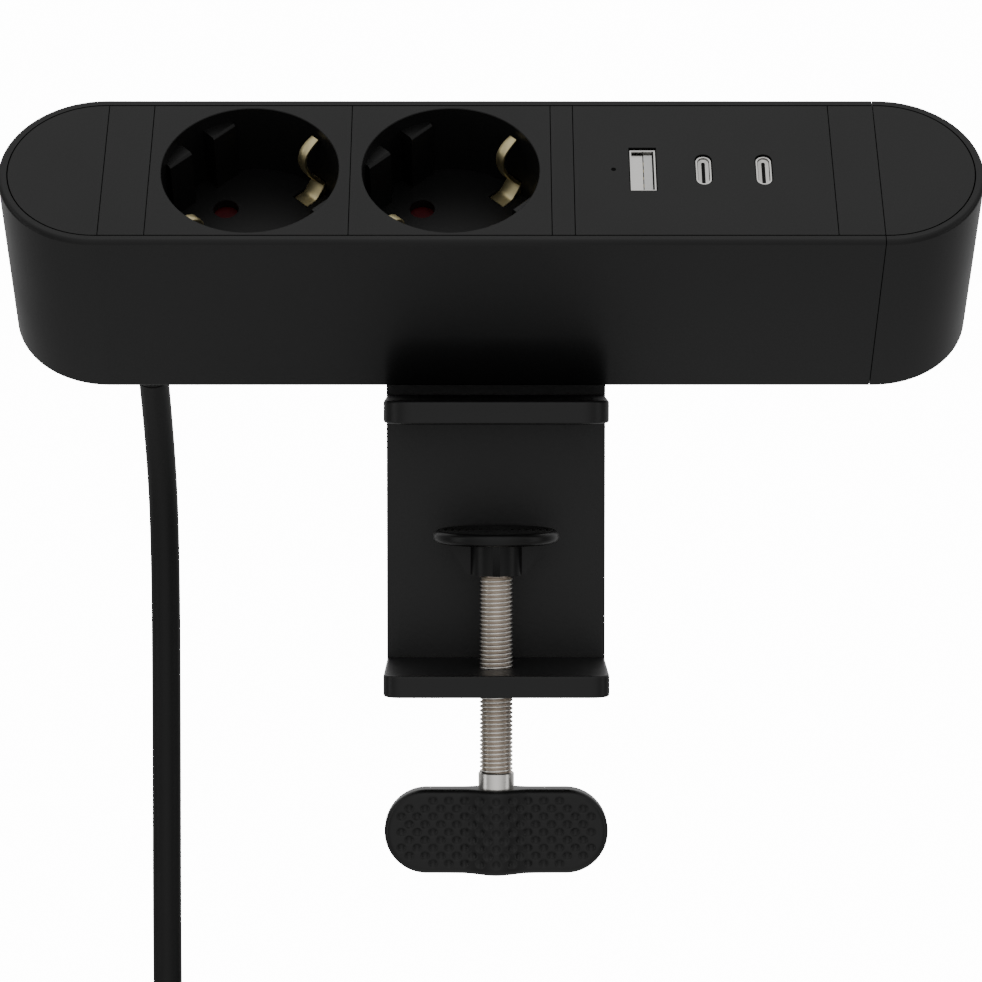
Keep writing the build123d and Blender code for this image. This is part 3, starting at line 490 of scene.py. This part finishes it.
# %% A recipe and how it is used
class Recipe(Nodes):
    """A Geometry Nodes tree with named inputs, ending in real geometry with a material."""

    sockets = {float: "NodeSocketFloat", int: "NodeSocketInt", tuple: "NodeSocketVector",
               bpy.types.Object: "NodeSocketObject"}

    def __init__(self, name, **sizes):
        self.tree = bpy.data.node_groups.new(name, "GeometryNodeTree")
        self.nodes, self.links = self.tree.nodes, self.tree.links
        face, self.keys = self.tree.interface, {}
        face.new_socket("Geometry", in_out="INPUT", socket_type="NodeSocketGeometry")
        for label, kind in sizes.items():
            self.keys[label] = face.new_socket(label, in_out="INPUT", socket_type=self.sockets[kind]).identifier
        self.keys["finish"] = face.new_socket("finish", in_out="INPUT", socket_type="NodeSocketMaterial").identifier
        face.new_socket("Geometry", in_out="OUTPUT", socket_type="NodeSocketGeometry")
        self.given = self.node("NodeGroupInput").outputs

    def size(self, label):
        return Term(self, self.given[label])

    def parts(self, vector):
        return [Term(self, s) for s in self.node("ShaderNodeSeparateXYZ", {}, {0: vector}).outputs]

    def vector(self, x, y, z):
        return self.node("ShaderNodeCombineXYZ", {}, {0: x, 1: y, 2: z}).outputs[0]

    def end(self, geometry):
        real = self.node("GeometryNodeRealizeInstances", {}, {0: geometry})
        coated = self.node("GeometryNodeSetMaterial", {}, {"Geometry": real.outputs[0],
                                                           "Material": self.given["finish"]})
        self.node("NodeGroupOutput", {}, {0: coated.outputs[0]})

    def make(self, name, start, slot, crease=40, place=Matrix(), **sizes):
        """Run the recipe on a mesh and keep the result as a plain mesh, in place."""
        holder = bpy.data.objects.new(name, start)
        bpy.context.scene.collection.objects.link(holder)
        modifier = holder.modifiers.new("recipe", "NODES")
        modifier.node_group = self.tree
        for label, value in dict(sizes, finish=finishes[slot]).items():
            modifier[self.keys[label]] = value
        bpy.context.view_layer.update()
        mesh = bpy.data.meshes.new_from_object(holder.evaluated_get(bpy.context.evaluated_depsgraph_get()))
        holder.modifiers.remove(modifier)
        bpy.data.objects.remove(holder)
        mesh.transform(place)
        return tidy(mesh, crease)


# %% [markdown]
# ## Threads and ribs
# A thread is a rod whose radius dips as a wave of the height, and the wave is shifted by one
# pitch for each turn round the rod. With no shift, the same rule gives level ribs. So one recipe
# bends a flat grid into a rod: its x becomes the angle, its y the height, and the two outer
# rows fall to the axis, which closes the ends.

# %% The ridged rod
ridged = Recipe("ridged_rod", around=int, rows=int, radius=float, far_radius=float, length=float,
                pitch=float, depth=float, starts=float, crest=float)
grid = ridged.node("GeometryNodeMeshGrid", {}, {"Vertices X": ridged.size("around"),
                                                "Vertices Y": ridged.size("rows"), "Size X": 1.0, "Size Y": 1.0})
flat_x, flat_y, _ = ridged.parts(ridged.node("GeometryNodeInputPosition").outputs[0])
angle = (flat_x + 0.5) * (2 * math.pi)
reach = (flat_y * (1 + 3 / (ridged.size("rows") - 3))) + 0.5
inside = (reach > -1e-4) * (reach < 1.0001)
share = reach.sum("MINIMUM", reach.sum("MAXIMUM", reach, 0.0), 1.0)
height = share * ridged.size("length")
taper = ridged.size("radius") + (ridged.size("far_radius") - ridged.size("radius")) * share
wave = height / ridged.size("pitch") - ridged.size("starts") * (flat_x + 0.5)
slope = (wave.sum("FRACT", wave) * 2 - 1)
slope = slope.sum("ABSOLUTE", slope)
valley = (slope - ridged.size("crest")) / (1 - ridged.size("crest"))
valley = valley.sum("MAXIMUM", valley, 0.0)
valley = valley * valley * (3 - valley * 2)
rod_radius = (taper - valley * ridged.size("depth")) * inside + 1e-7
bent = ridged.node("GeometryNodeSetPosition", {}, {
    "Geometry": grid.outputs["Mesh"],
    "Position": ridged.vector(rod_radius * angle.sum("COSINE", angle),
                              rod_radius * angle.sum("SINE", angle), height)})
closed = ridged.node("GeometryNodeMergeByDistance", {}, {"Geometry": bent.outputs[0], "Distance": 1e-6})
ridged.end(closed.outputs[0])
print("ridged rod recipe", len(ridged.nodes), "nodes")

# %% The clamp screw
screw_low, screw_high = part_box("clamp_screw")
pad_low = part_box("pad_base")[0]
screw_radius, screw_pitch = 0.00385, 0.001
thread_top = pad_low.z - 0.00055
thread_length = thread_top - screw_low.z
screw_mesh = ridged.make("screw_thread", bpy.data.meshes.new("bare"), "nickel_screw", 120,
                         Matrix.Translation((0, 0, screw_low.z)), around=65, rows=700, radius=screw_radius,
                         far_radius=screw_radius, length=thread_length, pitch=screw_pitch, depth=0.00055,
                         starts=1.0, crest=0.10)
tip_top, journal = screw_high.z, 0.0025
tip_mesh = lathe("screw_tip", [(0.0029, thread_top - 0.0004), (0.0029, thread_top + 0.0013),
                               (journal, thread_top + 0.0013), (journal, tip_top - 0.0008),
                               (0.002, tip_top - 0.0008), (0.002, tip_top - 0.0002), (journal, tip_top - 0.0002),
                               (journal - 0.0002, tip_top)])
piece("clamp_screw_thread", joined("clamp_screw_thread", [screw_mesh, tip_mesh]), "nickel_screw", "screw",
      "clamp_screw")

# %% [markdown]
# ## The knob
# The knob is a flat bar with round ends and a thicker middle that takes the screw. Its faces are
# covered in small bowls, so that a thumb grips it. The form itself is rings: the outline, then
# the same outline further and further in, while the face rises round the edge and over the
# middle. The bowls follow a rule, two square lattices set half a step apart, so a recipe sinks
# them into the fine skin.

# %% The knob's form
knob_low, knob_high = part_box("knob")
knob_z = (knob_low.z + knob_high.z) / 2
knob_half, knob_end, knob_face = 0.02585, 0.0098, 0.00375
hump_half, hump_height, edge_round = 0.0079, 0.00235, 0.0017
straight = knob_half - knob_end


def knob_rise(x, inset):
    """Half the knob's thickness at a place, and how far it is from the outline."""
    hump = 0.5 * hump_height * (1 + math.cos(math.pi * min(abs(x) / hump_half, 1)))
    edge = max(edge_round - inset, 0)
    return knob_face + hump - edge_round + math.sqrt(edge_round ** 2 - edge ** 2)


def knob_outline(inset, around=560):
    """Points of the outline moved in by an inset, as (x, z)."""
    radius = knob_end - inset
    reach = 4 * straight + 2 * math.pi * knob_end
    points = []
    for k in range(around):
        s = reach * k / around
        if s < 2 * straight:
            points.append((-straight + s, radius))
        elif s < 2 * straight + math.pi * knob_end:
            t = (s - 2 * straight) / knob_end
            points.append((straight + radius * math.sin(t), radius * math.cos(t)))
        elif s < 4 * straight + math.pi * knob_end:
            points.append((straight - (s - 2 * straight - math.pi * knob_end), -radius))
        else:
            t = (s - 4 * straight - math.pi * knob_end) / knob_end
            points.append((-straight - radius * math.sin(t), -radius * math.cos(t)))
    return points


insets = [edge_round * (1 - math.cos(math.radians(9 * k))) for k in range(11)]
insets += [edge_round + (knob_end - edge_round) * k / 36 for k in range(1, 37)]
face_rings = [[(x, knob_rise(x, inset), z) for x, z in knob_outline(inset)] for inset in insets]
belly = 0.0003
knob_rings = [[Vector((x, side * y, knob_z + z - (belly * math.exp(-(x / 0.006) ** 2) if z < 0 else 0)))
               for x, y, z in ring] for side, half in ((1, face_rings[::-1]), (-1, face_rings)) for ring in half]
knob_form = skin("knob_form", knob_rings, False, 60)
print("knob form", len(knob_form.polygons), "faces")

# %% The bowls in its faces
bowls = Recipe("bowls", pitch=float, bowl=float, depth=float, border=float, middle=float)
spot = bowls.node("GeometryNodeInputPosition").outputs[0]
knob_x, knob_y, world_z = bowls.parts(spot)
low_z = world_z - bowls.size("middle")


def bowl_depth(shift):
    """How deep the nearest bowl of one lattice is here, in depths, or nothing in the border."""
    centre_x = (knob_x / bowls.size("pitch") + shift).sum("ROUND", knob_x / bowls.size("pitch") + shift) - shift
    centre_z = (low_z / bowls.size("pitch") + shift).sum("ROUND", low_z / bowls.size("pitch") + shift) - shift
    centre_x, centre_z = centre_x * bowls.size("pitch"), centre_z * bowls.size("pitch")
    apart_x, apart_z = knob_x - centre_x, low_z - centre_z
    away = (apart_x * apart_x + apart_z * apart_z) / (bowls.size("bowl") * bowls.size("bowl"))
    beyond = centre_x.sum("ABSOLUTE", centre_x) - straight
    beyond = beyond.sum("MAXIMUM", beyond, 0.0)
    clear = (beyond * beyond + centre_z * centre_z) < (knob_end - bowls.size("border")) ** 2
    dip = 1 - away
    return dip.sum("MAXIMUM", dip, 0.0) * clear


dip = bowl_depth(0.0) + bowl_depth(0.5)
offset = bowls.vector(0.0, dip * bowls.size("depth") * knob_y.sum("SIGN", knob_y) * -1, 0.0)
sunk = bowls.node("GeometryNodeSetPosition", {}, {"Geometry": bowls.given["Geometry"], "Offset": offset})
bowls.end(sunk.outputs[0])
knob_mesh = bowls.make("knob_grip", knob_form, "knob_plastic", 60, pitch=0.00365, bowl=0.00108,
                       depth=0.00058, border=0.0022, middle=knob_z)
piece("knob_grip", knob_mesh, "knob_plastic", "screw", "knob")

# %% [markdown]
# ## Strain relief and plug
# Where the lead leaves the body it passes through a tapered sleeve with ribs, so that it bends
# gently. The plug has a shorter one. Both are the same ridged rod with level ribs. The plug's
# body is one soft moulding. Its engineering shape has hard joins, so a copy is wrapped in an
# even skin of small faces, relaxed a little, and the joins turn into moulded fillets.

# %% Strain relief at the body
sleeve_length, sleeve_inside = 0.021, 0.0035
sleeve_start = body_middle + Matrix.Rotation(tilt, 3, "X") @ Vector((-0.0805, 0, -0.047))
downward = Matrix.Translation(sleeve_start) @ Matrix.Rotation(tilt + math.pi, 4, "X")
sleeve = ridged.make("lead_sleeve", bpy.data.meshes.new("bare"), "black_rubber", 30, downward @ Matrix.Translation(
    (0, 0, -sleeve_inside)), around=41, rows=123, radius=0.0062, far_radius=0.0048,
    length=sleeve_length + sleeve_inside,
    pitch=0.003, depth=0.0009, starts=0.0, crest=0.45)
sleeve_piece = piece("lead_sleeve", sleeve, "black_rubber", "strip", "cable_gland")

# %% The plug
plug_place = Vector((-0.0810, 0.0520, -0.2190))


def softened(name, node, voxel, rounds):
    """A copy of an engineering piece in an even skin of small faces, relaxed a few rounds."""
    copy = bpy.data.objects.new(name, frame["nodes"][node].data.copy())
    bpy.context.scene.collection.objects.link(copy)
    tidy(copy.data)
    wrap = copy.modifiers.new("wrap", "REMESH")
    wrap.mode, wrap.voxel_size, wrap.use_smooth_shade = "VOXEL", voxel, True
    relax = copy.modifiers.new("relax", "SMOOTH")
    relax.factor, relax.iterations = 0.5, rounds
    mesh = bpy.data.meshes.new_from_object(copy.evaluated_get(bpy.context.evaluated_depsgraph_get()))
    bpy.data.objects.remove(copy)
    return tidy(mesh, 60)


plug_mesh = softened("plug_soft", "plug_body", 0.0005, 5)
plug_ribs = ridged.make("plug_ribs", bpy.data.meshes.new("bare"), "lead_jacket", 30, Matrix.Translation(
    plug_place + Vector((0, 0, -0.0175))), around=41, rows=93, radius=0.0067, far_radius=0.0051, length=0.0168,
    pitch=0.0028, depth=0.0009, starts=0.0, crest=0.45)
plug_piece = piece("plug_moulding", joined("plug_moulding", [plug_mesh, plug_ribs]), "gloss_black_plastic",
                   body_of["plug_body"], "plug_body")

# %% [markdown]
# ## The tie round the coil
# A woven strap is wrapped once round the coil and laps over itself; here it is one closed band
# with no lap. It follows the coil's own curve, so it is made in the coil's round directions: an
# outline that goes round the bundle like a rounded box, repeated at a few angles.

# %% Coil tie
tie_middle, tie_half, tie_sheet, bundle_in, bundle_out, bundle_side = 35, 0.008, 0.0012, 0.0308, 0.0452, 0.0108


def round_box(inner, outer, side, corner, steps=6):
    """A rounded box outline as (radius from the coil's middle, y)."""
    corners = [(outer - corner, side - corner, 0), (inner + corner, side - corner, 90),
               (inner + corner, corner - side, 180), (outer - corner, corner - side, 270)]
    return [(r + corner * math.cos(math.radians(turn + 90 * k / steps)),
             y + corner * math.sin(math.radians(turn + 90 * k / steps)))
            for r, y, turn in corners for k in range(steps + 1)]


def band(name, t0, t1, thickness, lift=0.0):
    """A strap between two offsets along the coil, with an inner and an outer skin."""
    outline = round_box(bundle_in, bundle_out, bundle_side, 0.0032)
    rings = []
    for grow, t in [(lift, t) for t in (t0, t0 + (t1 - t0) / 3, t1 - (t1 - t0) / 3, t1)] \
            + [(lift + thickness, t) for t in (t1, t1 - (t1 - t0) / 3, t0 + (t1 - t0) / 3, t0)]:
        middle_r, middle_y = (bundle_in + bundle_out) / 2, 0.0
        ring = []
        for r, y in outline:
            away = Vector((r - middle_r, y - middle_y))
            r2 = middle_r + math.copysign(abs(away.x) + grow * min(1, abs(away.x) / 0.004), away.x)
            y2 = math.copysign(abs(away.y) + grow * min(1, abs(away.y) / 0.004), away.y)
            turn = math.radians(tie_middle) + t / 0.038
            ring.append(coil_middle + Vector((r2 * math.cos(turn), y2, r2 * math.sin(turn))))
        rings.append(ring)
    return skin(name, rings, False, 50, True)


tie_mesh = band("coil_tie_band", -tie_half, tie_half, tie_sheet)
tie_piece = piece("coil_tie_strap", tie_mesh, "tie_fabric", "strip", "coil_tie")

lead_curve.materials.append(finishes["lead_jacket"])
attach(lead, "strip")
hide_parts("mains_lead", "lead_coil", "lead_tail")

# %% [markdown]
# ## Earth clips
# Each socket has two sprung brass fingers that touch a plug's side contacts. A finger is a strip
# of sheet bent into a bow: it leans out over the recess, curls back, and widens into a foot that
# lies on the floor. It could be cut from a block, but sheet metal is easier the way it is made:
# a smooth centre line with a width at each point, given its thickness on both sides.

# %% Earth clips
recess, sheet = 0.0199, 0.0008
clip_route = [(-0.0006, -0.0030, -0.0018, 0.0004), (-0.0026, -0.0038, -0.0019, 0.0005),
              (-0.0041, -0.0050, -0.0019, 0.0005), (-0.0048, -0.0068, -0.0019, 0.0005),
              (-0.0046, -0.0088, -0.0019, 0.0005), (-0.0036, -0.0116, -0.0019, 0.0005),
              (-0.0020, -0.0142, -0.0020, 0.0005), (-0.0005, -0.0160, -0.0028, 0.0012),
              (-0.0003, -0.0175, -0.0030, 0.0013), (-0.0003, -0.0300, -0.0030, 0.0013),
              (-0.0003, -0.0378, -0.0030, 0.0013)]
tab_route = [(-0.0003, -0.0166, -0.0030, 0.0013), (-0.0009, -0.0174, -0.0030, 0.0013),
             (-0.0022, -0.0188, -0.0030, 0.0013), (-0.0032, -0.01945, -0.0030, 0.0013),
             (-0.0046, -0.0196, -0.0030, 0.0013), (-0.0061, -0.0196, -0.0030, 0.0013)]


def eased(stations, steps=6):
    """Points of a smooth curve through all the stations, whatever they hold."""
    ends = [stations[0]] + stations + [stations[-1]]
    out = []
    for a, b, c, d in zip(ends, ends[1:], ends[2:], ends[3:]):
        for k in range(steps):
            t = k / steps
            out.append([0.5 * (2 * q + (r - p) * t + (2 * p - 5 * q + 4 * r - s) * t * t
                               + (3 * q - p - 3 * r + s) * t ** 3) for p, q, r, s in zip(a, b, c, d)])
    return out + [list(stations[-1])]


def strip_of_sheet(name, stations, place):
    """Bent sheet along (reach beyond the recess's wall, w, one edge, other edge)."""
    path = eased(stations)
    rings = []
    for k, (reach, w, edge_a, edge_b) in enumerate(path):
        before, after = path[max(k - 1, 0)], path[min(k + 1, len(path) - 1)]
        along = Vector((after[0] - before[0], after[1] - before[1])).normalized()
        normal = Vector((-along.y, along.x)) * sheet / 2
        bevel = sheet * 0.2
        ring = []
        for side, t, trim in ((1, edge_a, 0), (1, edge_a + bevel, 1), (1, edge_b - bevel, 1), (1, edge_b, 0),
                              (-1, edge_b, 0), (-1, edge_b - bevel, 1), (-1, edge_a + bevel, 1), (-1, edge_a, 0)):
            out = side * (1.0 if trim else 0.6)
            ring.append(place @ Vector((recess + reach + normal.x * out, t, w + normal.y * out)))
        rings.append(ring)
    return skin(name, rings, True, 50)


for number, socket_u in ((1, -0.0541), (2, -0.0091)):
    strips = []
    for quarter in (45, 225):
        place = to_desk @ Matrix.Translation((socket_u, 0, 0)) @ Matrix.Rotation(math.radians(quarter), 4, "Z")
        strips += [strip_of_sheet("finger", clip_route, place), strip_of_sheet("tab", tab_route, place)]
    piece(f"socket_{number}_clips", joined(f"socket_{number}_clips", strips), "brass", "strip",
          f"socket_{number}_earth_clips")

# %% [markdown]
# ## Screws
# The base and the clamp are held by cross-head screws. One screw is made well: a domed head on
# a threaded shank, with the cross cut out of it. A recipe then puts a copy at every place. The
# copies are made real at the end, because an instance would be lost when the model is exported.

# %% One cross-head screw
def carved(name, mesh, cutters):
    """A mesh with other meshes cut out of it."""
    objects = [bpy.data.objects.new(name, mesh)] + [bpy.data.objects.new("cutter", c) for c in cutters]
    for obj in objects:
        bpy.context.scene.collection.objects.link(obj)
    for cutter in objects[1:]:
        cut = objects[0].modifiers.new("cut", "BOOLEAN")
        cut.object, cut.operation, cut.solver = cutter, "DIFFERENCE", "EXACT"
    bpy.context.view_layer.update()
    result = bpy.data.meshes.new_from_object(objects[0].evaluated_get(bpy.context.evaluated_depsgraph_get()))
    for obj in objects:
        bpy.data.objects.remove(obj)
    return tidy(result, 30)


def slot_cutter(width, length, depth):
    """One bar of a cross recess, narrowing downward from just above z = 0."""
    rings = []
    for z, shrink in ((0.0002, 1.0), (-depth, 0.6)):
        x, y = length / 2 * shrink, width / 2 * (0.5 + shrink / 2)
        rings.append([Vector(p) for p in ((-x, -y, z), (x, -y, z), (x, y, z), (-x, y, z))])
    return skin("slot_cutter", rings)


def cross_head_screw(name, shank, head, dome, length, pitch):
    """A screw pointing down z, with its head's underside at z = 0 and a thread below."""
    cap = lathe("cap", [(head, 0.0), (head, dome * 0.45)]
                + [(head * math.cos(math.radians(a)) ** 0.8, dome * (0.45 + 0.55 * math.sin(math.radians(a))))
                   for a in range(15, 90, 15)], 40)
    bars = [slot_cutter(head * 0.30, head * 1.25, dome * 0.75) for _ in range(2)]
    bars[1].transform(Matrix.Rotation(math.pi / 2, 4, "Z"))
    for bar in bars:
        bar.transform(Matrix.Translation((0, 0, dome)))
    cap = carved("cap", cap, bars)
    thread = ridged.make("thread", bpy.data.meshes.new("bare"), "zinc_steel", 25, Matrix.Translation((0, 0, -length)),
                         around=17, rows=int(length / pitch * 5) + 3, radius=shank, far_radius=shank,
                         length=length + dome * 0.1, pitch=pitch, depth=shank * 0.17, starts=1.0, crest=0.2)
    return joined(name, [cap, thread])


# %% Copies of it
copies = Recipe("copies", original=bpy.types.Object, turn=tuple)
original = copies.node("GeometryNodeObjectInfo", {}, {"Object": copies.given["original"]})
placed = copies.node("GeometryNodeInstanceOnPoints", {}, {
    "Points": copies.given["Geometry"], "Instance": original.outputs["Geometry"], "Rotation": copies.given["turn"]})
copies.end(placed.outputs[0])


def screws(name, template, places, turn):
    """Copies of one screw at every place, as one piece."""
    points = bpy.data.meshes.new("places")
    points.from_pydata([to_desk @ Vector(p) for p in places], [], [])
    holder = bpy.data.objects.new("one_" + name, template)
    bpy.context.scene.collection.objects.link(holder)
    mesh = copies.make(name, points, "zinc_steel", 30, original=holder, turn=turn)
    bpy.data.objects.remove(holder)
    return piece(name + "_cross_head", mesh, "zinc_steel", "strip", name)


upside_down = (tilt + math.pi, 0, 0)
small = cross_head_screw("small_screw", 0.0015, 0.0027, 0.0017, 0.0112, 0.0007)
screws("base_screws", small, [(u, v, -0.0452) for u in (-0.0929, -0.0316, 0.04755, 0.0929)
                              for v in (-0.017, 0.017)], upside_down)
large = cross_head_screw("large_screw", 0.002, 0.0036, 0.0024, 0.0121, 0.0007)
screws("flange_screws", large, [(x + 0.00117, 0.0135, -0.052) for x in (-0.015, 0, 0.015)], upside_down)

# %% [markdown]
# ## Springs
# Behind each socket's shutter sits a small coil spring that turns the shutter back. Blender has
# the helix as a curve node, and a thin circle drawn along it is the wire.

# %% Return springs
coil_spring = Recipe("coil_spring", turns=float, radius=float, rise=float, wire=float)
helix = coil_spring.node("GeometryNodeCurveSpiral", {}, {
    "Resolution": 32, "Rotations": coil_spring.size("turns"), "Start Radius": coil_spring.size("radius"),
    "End Radius": coil_spring.size("radius"), "Height": coil_spring.size("rise")})
wire = coil_spring.node("GeometryNodeCurvePrimitiveCircle", {}, {"Resolution": 10,
                                                                 "Radius": coil_spring.size("wire")})
coil_spring.end(coil_spring.node("GeometryNodeCurveToMesh", {}, {
    "Curve": helix.outputs[0], "Profile Curve": wire.outputs[0], "Fill Caps": True}).outputs[0])
for number, socket_u in ((1, -0.0541), (2, -0.0091)):
    name = f"socket_{number}_shutter_spring"
    seat = to_desk @ Matrix.Translation((socket_u, 0, -0.0259))
    mesh = coil_spring.make(name, bpy.data.meshes.new("bare"), "spring_steel", 30, seat, turns=3.5,
                            radius=0.0025, rise=0.0014, wire=0.0002)
    piece(f"socket_{number}_coil_spring", mesh, "spring_steel", body_of[name], name)

# %% [markdown]
# ## The pad's rubber face
# A rubber disc is let into the pad, and shallow rings on it keep the strip from creeping along
# the desk's underside. It is a turned shape, so its whole form is one profile.

# %% Ringed rubber face
rubber_low, rubber_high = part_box("pad_rubber")
rubber_radius = (rubber_high.x - rubber_low.x) / 2
profile = [(rubber_radius, rubber_low.z), (rubber_radius, rubber_high.z - 0.0003),
           (rubber_radius - 0.0003, rubber_high.z)]
ring_gap = 0.0016
for k in range(7):
    edge = rubber_radius - 0.0011 - k * ring_gap
    profile += [(edge, rubber_high.z), (edge - 0.0002, rubber_high.z - 0.0004),
                (edge - 0.0006, rubber_high.z - 0.0004), (edge - 0.0008, rubber_high.z)]
piece("pad_rubber_face", lathe("pad_rubber_face", profile, 96, 30), "black_rubber", body_of["pad_rubber"],
      "pad_rubber")

# %% [markdown]
# ## Contacts in the charging ports
# The large port's tongue carries four flat gold contacts. They are tiny, but they catch the
# light, and a port without them looks like an empty slot.

# %% Port contacts
port_u, port_half, port_sheet, tongue_gap, tongue_sheet = 0.0340, 0.00285, 0.00035, 0.00035, 0.0019
tongue_low = port_u + port_half - port_sheet - tongue_gap - tongue_sheet
contacts = []
for k in range(4):
    middle = -0.0035 + k * 0.00233
    rings = []
    for w, half in ((-0.0016, 0.00035), (-0.0018, 0.0005), (-0.0090, 0.0005)):
        rings.append([to_desk @ Vector(p) for p in ((tongue_low + 0.00005, middle - half, w),
                                                    (tongue_low - 0.00012, middle - half, w),
                                                    (tongue_low - 0.00012, middle + half, w),
                                                    (tongue_low + 0.00005, middle + half, w))])
    contacts.append(skin("contact", rings, True, 30))
piece("usb_contacts", joined("usb_contacts", contacts), "brass", "strip")

# %% [markdown]
# ## Linings of the ports
# A port is not an open box. The large one has a sprung plate that presses on the plug, and each
# small one has a metal mouth that leaves only a narrow slot round its tongue. The plate is a
# bar; a mouth is a ring of four outlines, so that its hole is real.

# %% Spring plate and small-port mouths
def stadium(u, half_long, radius, w, around=24):
    """A slot's outline that is long across the body, on the body's face."""
    ring = []
    for k in range(around):
        t = 2 * math.pi * k / around
        v = radius * math.sin(t) + (half_long - radius) * (1 if k < around / 2 else -1)
        ring.append(to_desk @ Vector((u + radius * math.cos(t), v, w)))
    return ring


spring_edges = (port_u - 0.00248, tongue_low - 0.00022)
liners = [skin("spring_plate", [[to_desk @ Vector((u, v, w)) for u, v in (
    (spring_edges[0], -0.0056), (spring_edges[1], -0.0056), (spring_edges[1], 0.0056), (spring_edges[0], 0.0056))]
    for w in (-0.0012, -0.0050)], True, 30)]
for port in (0.0476, 0.0611):
    liners.append(skin("mouth", [stadium(port, half, radius, w) for half, radius, w in (
        (0.00405, 0.00122, -0.0009), (0.0034, 0.00042, -0.0012), (0.0034, 0.00042, -0.0050),
        (0.00405, 0.00122, -0.0050))], False, 40, True))
piece("port_linings", joined("port_linings", liners), "nickel_shell", "strip")

# %% [markdown]
# ## The studio
# A pale floor curves up into a wall, so no line shows behind the object. Black plastic shows
# little of its own colour; what is seen is mostly the reflection of the room. A wide soft light
# overhead lights the sloping face, two tall ones at the sides draw the upright highlights on
# round parts, and the even grey of the world fills the rest. The world is darker at the two
# sides, like black flags beside a table, which keeps the round ends from glowing.

# %% Floor and wall
floor_z, bend, wall_y = -0.30, 0.5, 1.9
profile = [(-9.0, floor_z)] + [(wall_y - bend + bend * math.sin(a), floor_z + bend - bend * math.cos(a))
                               for a in (math.radians(6 * k) for k in range(16))] + [(wall_y, 3.0)]
sweep_mesh = bpy.data.meshes.new("studio_sweep")
sweep_mesh.from_pydata([(x, y, z) for y, z in profile for x in (-7.0, 7.0)], [],
                       [(2 * k, 2 * k + 1, 2 * k + 3, 2 * k + 2) for k in range(len(profile) - 1)])
sweep_mesh.shade_smooth()
paper = Finish("studio_paper", Emission_Strength=14.0)
paper.put(paper.shader.inputs["Emission Color"], (1.0, 1.0, 1.0, 1.0))
paper.surface(paper.blend(paper.speckle(0.05), (0.86, 0.86, 0.86), (0.88, 0.88, 0.88)), 0.8)
sweep_mesh.materials.append(paper.material)
sweep = bpy.data.objects.new("studio_sweep", sweep_mesh)
bpy.context.scene.collection.objects.link(sweep)
sweep.visible_diffuse = sweep.visible_glossy = False


# %% Lights
def soft_light(name, place, aim, size, watts):
    """A rectangular softbox that points at a place."""
    data = bpy.data.lights.new(name, "AREA")
    data.shape, (data.size, data.size_y), data.energy = "RECTANGLE", size, watts
    lamp = bpy.data.objects.new(name, data)
    lamp.location = place
    lamp.rotation_euler = (Vector(aim) - Vector(place)).to_track_quat("-Z", "Y").to_euler()
    bpy.context.scene.collection.objects.link(lamp)


soft_light("overhead", (0, 0.1, 1.5), (0, 0, 0), (2.4, 1.6), 1.0)
soft_light("left_side", (-1.4, -0.35, 0.1), (0, 0, 0), (0.5, 1.6), 2.2)
soft_light("right_side", (1.4, -0.35, 0.1), (0, 0, 0), (0.5, 1.6), 1.9)


class Room(Nodes):
    """The world's light, dimmer below than above, with dark flags at the two sides."""

    def __init__(self, below, above, flags):
        self.world = bpy.data.worlds.new("room")
        self.world.use_nodes = True
        self.nodes, self.links = self.world.node_tree.nodes, self.world.node_tree.links
        way = self.node("ShaderNodeTexCoord").outputs["Generated"]
        side, _, height = (Term(self, s) for s in self.node("ShaderNodeSeparateXYZ", {}, {0: way}).outputs)
        shades = [(value, value, value, 1) for value in (below, above)]
        mix = self.node("ShaderNodeMix", {"data_type": "RGBA"}, {0: height * 0.5 + 0.5, 6: shades[0], 7: shades[1]})
        self.put(self.nodes["Background"].inputs["Color"], mix.outputs[2])
        self.put(self.nodes["Background"].inputs["Strength"], 1 - side * side * flags)


bpy.context.scene.world = Room(0.64, 0.97, 0.85).world
